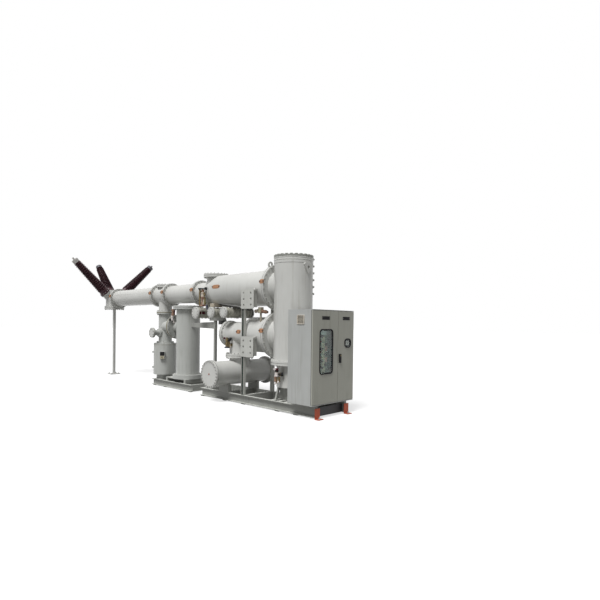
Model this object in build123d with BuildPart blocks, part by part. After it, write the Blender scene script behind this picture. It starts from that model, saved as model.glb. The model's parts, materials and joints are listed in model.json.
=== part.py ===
"""Gas insulated switchgear bay: breaker, busbar section, line run and air bushings.

Frame: +Z up, +Y along the bay from the control cabinet to the line end, +X to the
right for someone who stands in front of the cabinet. The origin is on the floor, on
the axis of the upright breaker tank. All sizes are in millimetres.
"""

from build123d import *

import os
from math import pi, sqrt

os.makedirs("parts", exist_ok=True)

# --- driving dimensions -------------------------------------------------------------

# steel skid under the bay
pad_height = 20
pad_size = 100
beam_height = 175
beam_flange = 65
beam_web = 9
beam_flange_thickness = 12
skid_half_width = 450
skid_setback = 30
skid_tail = 900
cross_width = 100
foot_width = 130
foot_plate = 12
foot_reach = 90
anchor_hole = 11

# local control cabinet
cabinet_width = 1180
cabinet_depth = 620
cabinet_height = 1730
cabinet_gap = 18
cabinet_wall = 12
plinth_height = 55
plinth_width = 70
plinth_inset = 50
door_thickness = 26
door_gap = 12
door_clearance = 6
door_sheet = 5
leaf_split = 120
leaf_gap = 6
hinge_inset = 14
hinge_pin = 5
hinge_clearance = 0.3
hinge_depth = 20
hinge_block = 28
window_width = 350
window_height = 800
window_bottom = 565
window_left = 195
window_corner = 55
gauge_window_width = 175
gauge_window_height = 150
gauge_window_bottom = 1033
gauge_window_right = 95
glass_thickness = 5
handle_width = 45
handle_height = 170
handle_depth = 30
handle_inset = 45
handle_height_on_leaf = 825
handle_corner = 10
panel_setback = 90
panel_sheet = 4
louvre_length = 175
louvre_height = 165
louvre_depth = 10
louvre_drop = 185
louvre_setback = 295
louvre_slots = 6

# upright breaker tank on its drive housing and pedestal
tank_wall = 10
breaker_radius = 392
cover_radius = 397
cover_thickness = 90
cover_band = 65
top_gap = 35
flange_thickness = 45
flange_lip = 30
cover_plate = 40
drive_radius = 320
drive_height = 535
drive_flange_radius = 442
pedestal_height = 255
pedestal_half = 190
pedestal_plate = 15
pedestal_spread = 80
pedestal_leg = 45
pedestal_panel_inset = 15
lug_width = 250
lug_height = 250
lug_thickness = 20
lug_stand = 25
lug_hole = 32
lug_corner = 30

# the two runs that leave the breaker along +Y
nozzle_radius = 345
nozzle_flange_radius = 478
nozzle_gap = 10
run_gap = 38
nozzle_seat = 3
ring_lug_radius = 64
ring_lug_hole = 30
ring_lug_thickness = 22
ring_lug_angle = 26
upper_radius = 380
upper_length = 1690
shoulder_lead = 240
shoulder_length = 410
shoulder_rounding = 160
middle_radius = 380
middle_length = 710

# disconnector and busbar
disconnector_radius = 270
disconnector_reach = 360
branch_offset = 550
branch_radius = 235
branch_flange_radius = 320
branch_rise = 107
bus_radius = 268
bus_near_flange_radius = 300
bus_far_flange_radius = 322
bus_clear = 93
bay_pitch = 1590
bus_bolt_circle = 568
bus_bolt_count = 12
bus_bolt_hole = 11
saddle_width = 330
saddle_length = 60
saddle_clearance = 0.3

# line run
line_radius = 245
line_flange_radius = 312
tee_offset = 265
tee_reach = 615
tee_neck_radius = 220
tee_neck_rise = 423
tee_cover_radius = 298
arrester_place = 3850
vt_place = 5010
vt_tee_half = 330
outlet_place = 8280
outlet_radius = 260

# voltage transformer and surge arrester on their own skid
vt_neck_radius = 180
vt_flange_radius = 236
vt_neck_rise = 253
vt_neck_drop = 477
vt_tank_radius = 307
vt_tank_height = 810
vt_skirt_height = 110
vt_skirt_radius = 225
vt_box_width = 130
vt_box_height = 205
vt_box_depth = 60
vt_box_turn = 228
vt_box_rise = 530
vt_lug_size = 45
vt_lug_turn = 163
port_reach = 420
port_radius = 75
port_disc_radius = 134
port_collar_radius = 115
port_disc = 30
port_rise = 290
arrester_radius = 302
arrester_flange_radius = 385
arrester_gap = 72
arrester_foot_flange = 105
link_drop = 390
link_radius = 170
link_flange_radius = 320
link_place = 540
line_skid_lead = 690
line_skid_tail = 80
line_skid_half_width = 350
line_beam_height = 160
line_beam_width = 60
arrester_plate = 20
arrester_base_height = 72
arrester_base_half_width = 290
arrester_base_front = 350
arrester_base_back = 600
arrester_base_bar = 80

# outgoing bushings and leg
bushing_lean = 45
bushing_turns = (180, 90, 0)
bushing_drop = 110
bushing_spread = 125
bushing_flange_radius = 170
bushing_length = 1860
bushing_collar = 110
bushing_collar_radius = 142
bushing_foot_core = 120
bushing_head_core = 78
shed_count = 32
shed_rim = 6
shed_slope = 16
long_shed = 36
short_shed = 26
cap_height = 95
cap_radius = 98
stud_length = 75
stud_radius = 26
turret_radius = 140
leg_width = 70
leg_wall = 6
leg_base = 300
leg_base_plate = 20
leg_cap = 240
leg_cap_plate = 12
leg_bolt_spacing = 220
outlet_drop = 337
outlet_rise = 273
outlet_flange_radius = 300

# posts and mechanisms
post_width = 80
post_wall = 8
post_place = 1050
post_overlap = 20
plate_thickness = 12
plate_width = 410
plate_heights = (430, 410)
plate_drops = (463, 447)
plate_lead = 10
plate_hole = 24
plate_hole_gap = 230
plate_hole_pitch = 125
plate_corner = 30
plate_return = 100
plate_return_sheet = 8
mechanism_length = 800
mechanism_radii = (126, 126, 144)
mechanism_places = (1810, 2290, 2920)
mechanism_gap = 132
mechanism_flange = 30
mechanism_body_share = 0.85
hanger_width = 110
rail_height = 60
rail_width = 110
rail_lead = 90
rail_tail = 170
stand_offset = -70
stand_width = 60
brace_drop = 298
brace_height = 85
brace_spread = 80
brace_width = 40
brace_clearance = 0.3

# bonding straps and gas fittings
strap_width = 120
strap_thickness = 5
strap_angle = 78
strap_overhang = 20
strap_over_seam = 280
strap_on_tank = 150
strap_lead = 200
valve_body_radius = 22
valve_rises = (50, 80, 60)
valve_drops = (340, 70, 160)
valve_lead = 80
valve_nut_radius = 34
valve_nut_length = 36
valve_arm_radius = 13
valve_arms = (12, 12, 60)
knob_radius = 40
knob_length = 34
monitor_width = 80
monitor_height = 125
monitor_offset = -250
monitor_place = 700
monitor_drop = 537
monitor_stem = 30

# --- derived places -----------------------------------------------------------------

beam_top = pad_height + beam_height
drive_bottom = beam_top + pedestal_height
breaker_bottom = drive_bottom + drive_height
middle_height = breaker_bottom + nozzle_flange_radius + nozzle_gap
upper_height = middle_height + 2 * nozzle_flange_radius + run_gap
breaker_top = upper_height + nozzle_flange_radius + top_gap
flange_pair = 2 * flange_thickness

cabinet_back = -drive_flange_radius - cabinet_gap
cabinet_front = cabinet_back - cabinet_depth
cabinet_bottom = beam_top + plinth_height
cabinet_middle = cabinet_bottom + cabinet_height / 2
shell_front = cabinet_front + door_thickness + door_gap
skid_front = cabinet_front + skid_setback

nozzle_reach = breaker_radius + flange_thickness + nozzle_seat
middle_end = nozzle_reach + middle_length
upper_end = nozzle_reach + upper_length
shoulder_start = upper_end + shoulder_lead
shoulder_end = shoulder_start + shoulder_length
tee_place = shoulder_start + tee_offset
line_tee_end = tee_place + tee_reach
tee_neck_top = upper_height + tee_neck_rise

branch_place = middle_end + branch_offset
disconnector_end = branch_place + disconnector_reach
bus_height = beam_top + bus_far_flange_radius + bus_clear
branch_split = bus_height + bus_radius + branch_rise
skid_back = branch_place + skid_tail

vt_tee_start = vt_place - vt_tee_half
vt_tee_end = vt_place + vt_tee_half
vt_tee_top = upper_height + vt_neck_rise
vt_neck_split = upper_height - vt_neck_drop
line_beam_top = pad_height + line_beam_height
line_skid_front = arrester_place - line_skid_lead
line_skid_back = vt_place + line_skid_tail
vt_tank_bottom = line_beam_top + vt_skirt_height
vt_tank_top = vt_tank_bottom + vt_tank_height
vt_lid_top = vt_tank_top + cover_plate
port_height = vt_lid_top + port_rise
arrester_base_top = line_beam_top + arrester_base_height + arrester_plate
arrester_top = upper_height - line_radius - arrester_gap
link_height = vt_neck_split - link_drop
link_face = arrester_place + link_place

outlet_bottom = upper_height - outlet_drop
outlet_top = upper_height + outlet_rise
outlet_inlet = outlet_place - outlet_radius - flange_pair
bushing_flange_place = bushing_flange_radius * sqrt(3) + bushing_spread
porcelain_end = bushing_length - cap_height - stud_length

plate_bottoms = (middle_height - plate_drops[0], upper_height - plate_drops[1])
post_top = plate_bottoms[1] + post_overlap
mechanism_height = upper_height - upper_radius - mechanism_gap
rail_top = mechanism_height - mechanism_radii[1]
stand_place = skid_back - cross_width / 2
rail_start = mechanism_places[1] - rail_lead
rail_end = stand_place + rail_tail


# --- forms that several pieces share ------------------------------------------------


def along_y(x, y, z):
    """Plane whose normal runs along the bay."""
    return Plane(origin=(x, y, z), x_dir=(1, 0, 0), z_dir=(0, 1, 0))


def along_x(x, y, z):
    """Plane whose normal runs across the bay."""
    return Plane(origin=(x, y, z), x_dir=(0, 1, 0), z_dir=(1, 0, 0))


def upright(x, y, z):
    """Level plane at a height."""
    return Plane(origin=(x, y, z))


def leaning(turn, distance):
    """Plane across a bushing's axis, at a distance from the point where the axes meet."""
    direction = Vector(0, 0, 1).rotate(Axis.Y, bushing_lean).rotate(Axis.Z, turn)
    centre = Vector(0, outlet_place, upper_height - bushing_drop)
    across = Vector(0, 1, 0).rotate(Axis.Z, turn)
    return Plane(origin=centre + direction * distance, x_dir=across, z_dir=direction)


def drum(plane, radius, length, mode=Mode.ADD):
    """Round length that starts on a plane."""
    with BuildSketch(plane) as outline:
        Circle(radius)
    extrude(outline.sketch, amount=length, mode=mode)


def slab(plane, width, height, thickness, mode=Mode.ADD):
    """Rectangular plate that starts on a plane."""
    with BuildSketch(plane) as outline:
        Rectangle(width, height)
    extrude(outline.sketch, amount=thickness, mode=mode)


def turned(plane, profile, rounding=0, mode=Mode.ADD):
    """Solid of revolution about a plane's normal.

    The profile is a list of (distance along the normal, radius), rounded at its
    inner corners where a rounding is given, and closed on the axis.
    """
    section = Plane(origin=plane.origin, x_dir=plane.z_dir, z_dir=plane.y_dir)
    with BuildSketch(section) as outline:
        with BuildLine():
            points = [(distance, -radius) for distance, radius in profile]
            if rounding:
                FilletPolyline(*points, radius=rounding)
            else:
                Polyline(*points)
            Polyline(points[-1], (points[-1][0], 0), (points[0][0], 0), points[0])
        make_face()
    revolve(outline.sketch, axis=Axis(plane.origin, plane.z_dir), mode=mode)


def channel(plane, height, flange, web, flange_sheet, length):
    """Channel section: its web lies on the plane's y axis, its flanges point along +x."""
    with BuildSketch(plane) as outline:
        with BuildLine():
            Polyline(
                (0, -height / 2),
                (flange, -height / 2),
                (flange, -height / 2 + flange_sheet),
                (web, -height / 2 + flange_sheet),
                (web, height / 2 - flange_sheet),
                (flange, height / 2 - flange_sheet),
                (flange, height / 2),
                (0, height / 2),
                close=True,
            )
        make_face()
    extrude(outline.sketch, amount=length)


def strap(plane, radius, angle, length):
    """Curved strip that lies on a round rim, its angle taken from the top toward -X."""
    half_turn = strap_width / radius * 90 / pi
    start = 270 - angle - half_turn
    with BuildSketch(plane) as outline:
        with BuildLine():
            inner = CenterArc((0, 0), radius, start, 2 * half_turn)
            outer = CenterArc((0, 0), radius + strap_thickness, start, 2 * half_turn)
            Line(inner @ 0, outer @ 0)
            Line(inner @ 1, outer @ 1)
        make_face()
    extrude(outline.sketch, amount=length)


def write(piece, label):
    """Name a finished piece and write its file."""
    piece.part.label = label
    export_step(piece.part, f"parts/{label}.step")


# --- skid ---------------------------------------------------------------------------

with BuildPart() as skid_beams:
    for side in (-1, 1):
        beam_start = skid_front if side < 0 else skid_back
        beam_plane = Plane(
            origin=(side * (skid_half_width - beam_flange), beam_start, pad_height + beam_height / 2),
            x_dir=(side, 0, 0),
            z_dir=(0, -side, 0),
        )
        channel(
            beam_plane,
            beam_height,
            beam_flange,
            beam_web,
            beam_flange_thickness,
            skid_back - skid_front,
        )
write(skid_beams, "skid_beams")

cross_places = (
    cabinet_back - cross_width / 2,
    -pedestal_half,
    0,
    pedestal_half,
    post_place,
    branch_place,
    stand_place,
)
with BuildPart() as cross_members:
    for place in cross_places:
        member_start = along_x(beam_flange - skid_half_width, place, pad_height + beam_height / 2)
        member_length = 2 * (skid_half_width - beam_flange)
        slab(member_start, cross_width, beam_height, member_length)
        slab(
            member_start,
            cross_width - 2 * beam_web,
            beam_height - 2 * beam_flange_thickness,
            member_length,
            mode=Mode.SUBTRACT,
        )
write(cross_members, "skid_cross_members")

pad_places = (cabinet_back - cross_width / 2, 0, post_place, branch_place, stand_place)
line_cross_places = (
    line_skid_front + line_beam_width / 2,
    arrester_place - arrester_base_front + arrester_base_bar / 2,
    arrester_place + arrester_base_back - arrester_base_bar / 2,
    vt_place - vt_skirt_radius + line_beam_width,
    line_skid_back - line_beam_width / 2,
)
line_pad_places = (
    line_skid_front + pad_size,
    arrester_place + arrester_base_back,
    line_skid_back - pad_size,
)
with BuildPart() as levelling_pads:
    slab(upright(0, 0, 0), pad_size, pad_size, pad_height)
    for side in (-1, 1):
        for place in pad_places:
            slab(
                upright(side * (skid_half_width - beam_flange), place, 0),
                pad_size,
                pad_size,
                pad_height,
            )
        for place in line_pad_places:
            slab(
                upright(side * (line_skid_half_width - pad_size / 2), place, 0),
                line_beam_width,
                pad_size,
                pad_height,
            )
write(levelling_pads, "levelling_pads")

with BuildPart() as anchor_feet:
    for side in (-1, 1):
        foot_x = side * (skid_half_width - beam_flange / 2)
        foot_y = skid_front - foot_plate - foot_reach / 2
        slab(along_y(foot_x, skid_front - foot_plate, beam_top / 2), foot_width, beam_top, foot_plate)
        slab(upright(foot_x, foot_y, 0), foot_width, foot_reach, foot_plate)
        with Locations((foot_x, foot_y, foot_plate)):
            Hole(anchor_hole, depth=foot_plate)
write(anchor_feet, "anchor_feet")

# --- control cabinet ----------------------------------------------------------------

with BuildPart() as plinth:
    for side in (-1, 1):
        slab(
            upright(
                side * (skid_half_width - plinth_width / 2),
                (cabinet_front + cabinet_back) / 2,
                beam_top,
            ),
            plinth_width,
            cabinet_depth - 2 * plinth_inset,
            plinth_height,
        )
write(plinth, "cabinet_plinth")

# the roof and the floor reach forward over the doors and carry their pins
shell_middle = (shell_front + cabinet_back) / 2
with BuildPart() as cabinet_shell:
    slab(
        upright(0, (cabinet_front + cabinet_back) / 2, cabinet_bottom),
        cabinet_width,
        cabinet_depth,
        cabinet_height,
    )
    slab(
        upright(0, shell_middle - cabinet_wall, cabinet_bottom + cabinet_wall),
        cabinet_width - 2 * cabinet_wall,
        cabinet_back - shell_front,
        cabinet_height - 2 * cabinet_wall,
        mode=Mode.SUBTRACT,
    )
    slab(
        upright(0, (cabinet_front + shell_front) / 2, cabinet_bottom + cabinet_wall),
        cabinet_width,
        shell_front - cabinet_front,
        cabinet_height - 2 * cabinet_wall,
        mode=Mode.SUBTRACT,
    )
write(cabinet_shell, "cabinet_shell")

leaf_height = cabinet_height - 2 * cabinet_wall - 2 * door_clearance
hinge_x = cabinet_width / 2 - hinge_inset
hinge_y = cabinet_front + door_thickness / 2
leaf_ends = (cabinet_middle - leaf_height / 2, cabinet_middle + leaf_height / 2)
with BuildPart() as hinge_pins:
    for side in (-1, 1):
        drum(
            upright(side * hinge_x, hinge_y, leaf_ends[0] - door_clearance),
            hinge_pin,
            door_clearance + hinge_depth,
        )
        drum(
            upright(side * hinge_x, hinge_y, leaf_ends[1] - hinge_depth),
            hinge_pin,
            door_clearance + hinge_depth,
        )
write(hinge_pins, "cabinet_hinges")

leaf_spans = {
    "left": (-cabinet_width / 2, leaf_split - leaf_gap / 2),
    "right": (leaf_split + leaf_gap / 2, cabinet_width / 2),
}
window_centres = {
    "left": (
        -cabinet_width / 2 + window_left + window_width / 2,
        cabinet_bottom + window_bottom + window_height / 2,
    ),
    "right": (
        cabinet_width / 2 - gauge_window_right - gauge_window_width / 2,
        cabinet_bottom + gauge_window_bottom + gauge_window_height / 2,
    ),
}
window_sizes = {
    "left": (window_width, window_height),
    "right": (gauge_window_width, gauge_window_height),
}
for name, side in (("left", -1), ("right", 1)):
    low, high = leaf_spans[name]
    leaf_width = high - low
    window_x, window_z = window_centres[name]
    with BuildPart() as door:
        slab(
            along_y((low + high) / 2, cabinet_front, cabinet_middle),
            leaf_width,
            leaf_height,
            door_thickness,
        )
        slab(
            along_y((low + high) / 2, cabinet_front + door_sheet, cabinet_middle),
            leaf_width - 2 * door_sheet,
            leaf_height - 2 * door_sheet,
            door_thickness,
            mode=Mode.SUBTRACT,
        )
        with BuildSketch(along_y(window_x, cabinet_front, window_z)):
            RectangleRounded(*window_sizes[name], window_corner)
        extrude(amount=door_thickness, mode=Mode.SUBTRACT)
        # solid corner blocks, bored for the pins
        for block_start, pin_start in (
            (leaf_ends[0], leaf_ends[0]),
            (leaf_ends[1] - hinge_block, leaf_ends[1] - hinge_depth - door_clearance),
        ):
            slab(
                upright(side * hinge_x, hinge_y, block_start),
                2 * hinge_inset,
                door_thickness,
                hinge_block,
            )
            drum(
                upright(side * hinge_x, hinge_y, pin_start),
                hinge_pin + hinge_clearance,
                hinge_depth + door_clearance,
                mode=Mode.SUBTRACT,
            )
    write(door, f"{name}_door")
    with BuildPart() as window_glass:
        with BuildSketch(along_y(window_x, cabinet_front, window_z)):
            RectangleRounded(*window_sizes[name], window_corner)
        extrude(amount=glass_thickness)
    write(window_glass, f"{name}_window_glass")

handle_x = leaf_split + leaf_gap / 2 + handle_inset
with BuildPart() as handle:
    with BuildSketch(
        along_y(handle_x, cabinet_front - handle_depth, cabinet_bottom + handle_height_on_leaf)
    ):
        RectangleRounded(handle_width, handle_height, handle_corner)
    extrude(amount=handle_depth)
write(handle, "door_handle")

with BuildPart() as instrument_panel:
    slab(
        along_y(0, shell_front + panel_setback, cabinet_middle),
        cabinet_width - 2 * cabinet_wall,
        cabinet_height - 2 * cabinet_wall,
        panel_sheet,
    )
write(instrument_panel, "instrument_panel")

# louvre plates high on both side walls, each with a column of slots
slot_pitch = louvre_height / (louvre_slots + 1)
louvre_y = cabinet_front + louvre_setback
louvre_z = cabinet_bottom + cabinet_height - louvre_drop
with BuildPart() as louvres:
    for louvre_face in (-cabinet_width / 2 - louvre_depth, cabinet_width / 2):
        with BuildSketch(along_x(louvre_face, louvre_y, louvre_z)):
            Rectangle(louvre_length, louvre_height)
            with GridLocations(0, slot_pitch, 1, louvre_slots):
                SlotOverall(louvre_length * 0.8, slot_pitch / 2, mode=Mode.SUBTRACT)
        extrude(amount=louvre_depth)
write(louvres, "louvres")

# --- breaker ------------------------------------------------------------------------

leg_foot = pedestal_half + pedestal_spread
with BuildPart() as pedestal:
    slab(
        upright(0, 0, drive_bottom - pedestal_plate),
        2 * pedestal_half + pedestal_leg,
        2 * pedestal_half + pedestal_leg,
        pedestal_plate,
    )
    panel_size = 2 * (pedestal_half - pedestal_panel_inset)
    slab(upright(0, 0, beam_top), panel_size, panel_size, pedestal_height - pedestal_plate)
    slab(
        upright(0, 0, beam_top),
        panel_size - 2 * tank_wall,
        panel_size - 2 * tank_wall,
        pedestal_height - pedestal_plate,
        mode=Mode.SUBTRACT,
    )
    for x in (-1, 1):
        for y in (-1, 1):
            with BuildSketch(upright(x * leg_foot, y * pedestal_half, beam_top)) as foot:
                Rectangle(pedestal_leg, pedestal_leg)
            with BuildSketch(
                upright(x * pedestal_half, y * pedestal_half, drive_bottom - pedestal_plate)
            ) as head:
                Rectangle(pedestal_leg, pedestal_leg)
            loft(sections=[foot.sketch, head.sketch])
write(pedestal, "breaker_pedestal")

with BuildPart() as drive_housing:
    drum(upright(0, 0, drive_bottom), drive_radius, drive_height - flange_pair)
    drum(
        upright(0, 0, breaker_bottom - flange_pair),
        drive_flange_radius,
        flange_thickness,
    )
    drum(
        upright(0, 0, drive_bottom + tank_wall),
        drive_radius - tank_wall,
        drive_height,
        mode=Mode.SUBTRACT,
    )
write(drive_housing, "drive_housing")

with BuildPart() as breaker_tank:
    turned(
        upright(0, 0, breaker_bottom - flange_thickness),
        [
            (0, drive_flange_radius),
            (flange_thickness, drive_flange_radius),
            (flange_thickness, breaker_radius),
            (breaker_top - cover_band - breaker_bottom + flange_thickness, breaker_radius),
            (breaker_top - cover_band - breaker_bottom + flange_thickness, cover_radius),
            (breaker_top - breaker_bottom + flange_thickness, cover_radius),
        ],
    )
    # lifting lugs: rounded triangles under the cover, front and back
    for side in (-1, 1):
        lug_face = side * (breaker_radius + lug_stand)
        with BuildSketch(along_y(0, lug_face, breaker_top - cover_band)) as lug:
            with BuildLine():
                FilletPolyline(
                    (-lug_width / 2, 0),
                    (lug_width / 2, 0),
                    (0, lug_height),
                    close=True,
                    radius=lug_corner,
                )
            make_face()
            with Locations((0, lug_height / 3)):
                Circle(lug_hole, mode=Mode.SUBTRACT)
        extrude(lug.sketch, amount=-side * (lug_stand + lug_thickness))
    for height in (upper_height, middle_height):
        drum(along_y(0, 0, height), nozzle_radius, nozzle_reach)
        drum(
            along_y(0, nozzle_reach - flange_thickness, height),
            nozzle_flange_radius,
            flange_thickness,
        )
    drum(
        upright(0, 0, breaker_bottom - flange_thickness),
        breaker_radius - tank_wall,
        breaker_top,
        mode=Mode.SUBTRACT,
    )
    for height in (upper_height, middle_height):
        drum(
            along_y(0, 0, height),
            nozzle_radius - tank_wall,
            nozzle_reach,
            mode=Mode.SUBTRACT,
        )
write(breaker_tank, "breaker_tank")

with BuildPart() as breaker_cover:
    drum(upright(0, 0, breaker_top), cover_radius, cover_thickness)
write(breaker_cover, "breaker_cover")

# --- upper run ----------------------------------------------------------------------


def straight_shell(height, radius, start_flange, start, end, end_flange=0):
    """Straight tank wall along the bay with a flange at its start, and at its end if given."""
    drum(along_y(0, start, height), radius, end - start)
    drum(along_y(0, start, height), start_flange, flange_thickness)
    if end_flange:
        drum(along_y(0, end - flange_thickness, height), end_flange, flange_thickness)
    drum(along_y(0, start, height), radius - tank_wall, end - start, mode=Mode.SUBTRACT)


with BuildPart() as upper_tank:
    straight_shell(upper_height, upper_radius, nozzle_flange_radius, nozzle_reach, upper_end)
    # ring lug on the rim of the flange
    lug_centre = Vector(0, 0, nozzle_flange_radius + ring_lug_hole).rotate(Axis.Y, -ring_lug_angle)
    lug_plane = along_y(lug_centre.X, nozzle_reach, upper_height + lug_centre.Z)
    drum(lug_plane, ring_lug_radius, ring_lug_thickness)
    drum(lug_plane, ring_lug_hole, ring_lug_thickness, mode=Mode.SUBTRACT)
write(upper_tank, "upper_tank")

# welded tee: the tank narrows through a rounded shoulder, with an upright neck on it
with BuildPart() as line_tee:
    shell_profile = (
        (0, upper_radius),
        (shoulder_start - upper_end, upper_radius),
        (shoulder_end - upper_end, line_radius),
        (line_tee_end - upper_end, line_radius),
    )
    turned(along_y(0, upper_end, upper_height), shell_profile, shoulder_rounding)
    drum(
        along_y(0, line_tee_end - flange_thickness, upper_height),
        line_flange_radius,
        flange_thickness,
    )
    drum(upright(0, tee_place, upper_height), tee_neck_radius, tee_neck_rise - cover_plate)
    drum(
        upright(0, tee_place, tee_neck_top - 2 * cover_plate),
        tee_cover_radius,
        cover_plate,
    )
    turned(
        along_y(0, upper_end, upper_height),
        [(distance, radius - tank_wall) for distance, radius in shell_profile],
        shoulder_rounding,
        mode=Mode.SUBTRACT,
    )
    drum(
        upright(0, tee_place, upper_height),
        tee_neck_radius - tank_wall,
        tee_neck_rise,
        mode=Mode.SUBTRACT,
    )
write(line_tee, "line_tee")

line_tube_spans = ((line_tee_end, vt_tee_start), (vt_tee_end, outlet_inlet))
with BuildPart() as line_tubes:
    for start, end in line_tube_spans:
        straight_shell(upper_height, line_radius, line_flange_radius, start, end, line_flange_radius)
write(line_tubes, "line_tubes")

with BuildPart() as vt_tee:
    drum(along_y(0, vt_tee_start, upper_height), line_radius, 2 * vt_tee_half)
    for place in (vt_tee_start, vt_tee_end - flange_thickness):
        drum(along_y(0, place, upper_height), line_flange_radius, flange_thickness)
    drum(upright(0, vt_place, vt_neck_split), vt_neck_radius, vt_tee_top - vt_neck_split)
    drum(upright(0, vt_place, vt_neck_split), vt_flange_radius, flange_thickness)
    drum(upright(0, vt_place, vt_tee_top - cover_plate), vt_flange_radius, cover_plate)
    drum(
        along_y(0, vt_tee_start, upper_height),
        line_radius - tank_wall,
        2 * vt_tee_half,
        mode=Mode.SUBTRACT,
    )
    drum(
        upright(0, vt_place, vt_neck_split),
        vt_neck_radius - tank_wall,
        vt_tee_top - vt_neck_split,
        mode=Mode.SUBTRACT,
    )
write(vt_tee, "vt_tee")

# --- middle run, busbar -------------------------------------------------------------

with BuildPart() as middle_tank:
    straight_shell(
        middle_height,
        middle_radius,
        nozzle_flange_radius,
        nozzle_reach,
        middle_end,
        middle_radius,
    )
write(middle_tank, "middle_tank")

with BuildPart() as disconnector:
    drum(
        along_y(0, middle_end, middle_height),
        disconnector_radius,
        disconnector_end - middle_end,
    )
    drum(along_y(0, middle_end, middle_height), middle_radius, flange_thickness)
    drum(
        along_y(0, disconnector_end - flange_thickness, middle_height),
        disconnector_radius + flange_lip,
        flange_thickness,
    )
    drum(upright(0, branch_place, branch_split), branch_radius, middle_height - branch_split)
    drum(upright(0, branch_place, branch_split), branch_flange_radius, flange_thickness)
    drum(
        along_y(0, middle_end, middle_height),
        disconnector_radius - tank_wall,
        disconnector_end - middle_end,
        mode=Mode.SUBTRACT,
    )
    drum(
        upright(0, branch_place, branch_split),
        branch_radius - tank_wall,
        middle_height - branch_split,
        mode=Mode.SUBTRACT,
    )
write(disconnector, "disconnector_tank")

# the busbar tank lies across the bay, one bay pitch long
bus_start = along_x(-bay_pitch / 2, branch_place, bus_height)
with BuildPart() as bus_tank:
    drum(bus_start, bus_radius, bay_pitch)
    drum(bus_start, bus_near_flange_radius, flange_thickness)
    far_flange = along_x(bay_pitch / 2 - flange_thickness, branch_place, bus_height)
    drum(far_flange, bus_far_flange_radius, flange_thickness)
    drum(upright(0, branch_place, bus_height), branch_radius, branch_split - bus_height)
    drum(
        upright(0, branch_place, branch_split - flange_thickness),
        branch_flange_radius,
        flange_thickness,
    )
    drum(bus_start, bus_radius - tank_wall, bay_pitch, mode=Mode.SUBTRACT)
    drum(
        upright(0, branch_place, bus_height),
        branch_radius - tank_wall,
        branch_split - bus_height,
        mode=Mode.SUBTRACT,
    )
    with BuildSketch(far_flange) as bolt_circle:
        with PolarLocations(bus_bolt_circle / 2, bus_bolt_count):
            Circle(bus_bolt_hole)
    extrude(bolt_circle.sketch, amount=flange_thickness, mode=Mode.SUBTRACT)
write(bus_tank, "bus_tank")

# blank cover on the near end, barrier insulator inside the far one
with BuildPart() as bus_cover:
    drum(
        along_x(-bay_pitch / 2 - cover_plate, branch_place, bus_height),
        bus_near_flange_radius,
        cover_plate,
    )
    drum(
        along_x(bay_pitch / 2 - flange_thickness, branch_place, bus_height),
        bus_radius - tank_wall,
        flange_thickness,
    )
write(bus_cover, "bus_end_cover")

with BuildPart() as bus_saddles:
    for side in (-1, 1):
        saddle_x = side * (skid_half_width - beam_flange / 2)
        slab(
            upright(saddle_x, branch_place, beam_top),
            saddle_length,
            saddle_width,
            bus_height - beam_top,
        )
        drum(
            along_x(saddle_x - saddle_length, branch_place, bus_height),
            bus_radius + saddle_clearance,
            2 * saddle_length,
            mode=Mode.SUBTRACT,
        )
write(bus_saddles, "bus_saddles")

# --- posts, bracket plates, mechanisms ----------------------------------------------

with BuildPart() as posts:
    for side in (-1, 1):
        channel(
            Plane(
                origin=(side * (skid_half_width - beam_flange), post_place, beam_top),
                x_dir=(side, 0, 0),
                z_dir=(0, 0, 1),
            ),
            post_width,
            beam_flange,
            post_wall,
            post_wall,
            post_top - beam_top,
        )
write(posts, "posts")

# each plate turns inward along its front edge and meets the tank there
plate_end = post_place + post_width / 2 + plate_lead
tank_heights = (middle_height, upper_height)
with BuildPart() as plates:
    for side in (-1, 1):
        for bottom, plate_height in zip(plate_bottoms, plate_heights):
            plate_face = side * skid_half_width + min(side, 0) * plate_thickness
            plate_plane = along_x(plate_face, plate_end - plate_width / 2, bottom + plate_height / 2)
            with BuildSketch(plate_plane) as sheet:
                RectangleRounded(plate_width, plate_height, plate_corner)
                with GridLocations(plate_hole_gap, plate_hole_pitch, 2, 3):
                    Circle(plate_hole, mode=Mode.SUBTRACT)
            extrude(sheet.sketch, amount=plate_thickness)
            slab(
                along_y(
                    side * (skid_half_width - plate_return / 2),
                    plate_end - plate_width + plate_corner / 2,
                    bottom + plate_height / 2,
                ),
                plate_return,
                plate_height - 2 * plate_corner,
                plate_return_sheet,
            )
    for height, radius in zip(tank_heights, (middle_radius, upper_radius)):
        drum(along_y(0, nozzle_reach, height), radius, middle_length, mode=Mode.SUBTRACT)
write(plates, "bracket_plates")

with BuildPart() as mechanisms:
    for place, radius in zip(mechanism_places, mechanism_radii):
        drum(
            along_x(-mechanism_length / 2, place, mechanism_height),
            radius * mechanism_body_share,
            mechanism_length,
        )
        for start in (-mechanism_length / 2, mechanism_length / 2 - mechanism_flange):
            drum(along_x(start, place, mechanism_height), radius, mechanism_flange)
        # hanger up to the tank above
        slab(
            upright(0, place, mechanism_height),
            hanger_width,
            hanger_width,
            upper_height - mechanism_height,
        )
    # seat of the middle one on the rail
    slab(
        upright(stand_offset, mechanism_places[1], rail_top),
        rail_width,
        hanger_width,
        mechanism_radii[1],
    )
    turned(along_y(0, upper_end, upper_height), shell_profile, shoulder_rounding, mode=Mode.SUBTRACT)
    drum(
        along_y(0, nozzle_reach, upper_height),
        upper_radius,
        upper_length,
        mode=Mode.SUBTRACT,
    )
write(mechanisms, "mechanisms")

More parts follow.
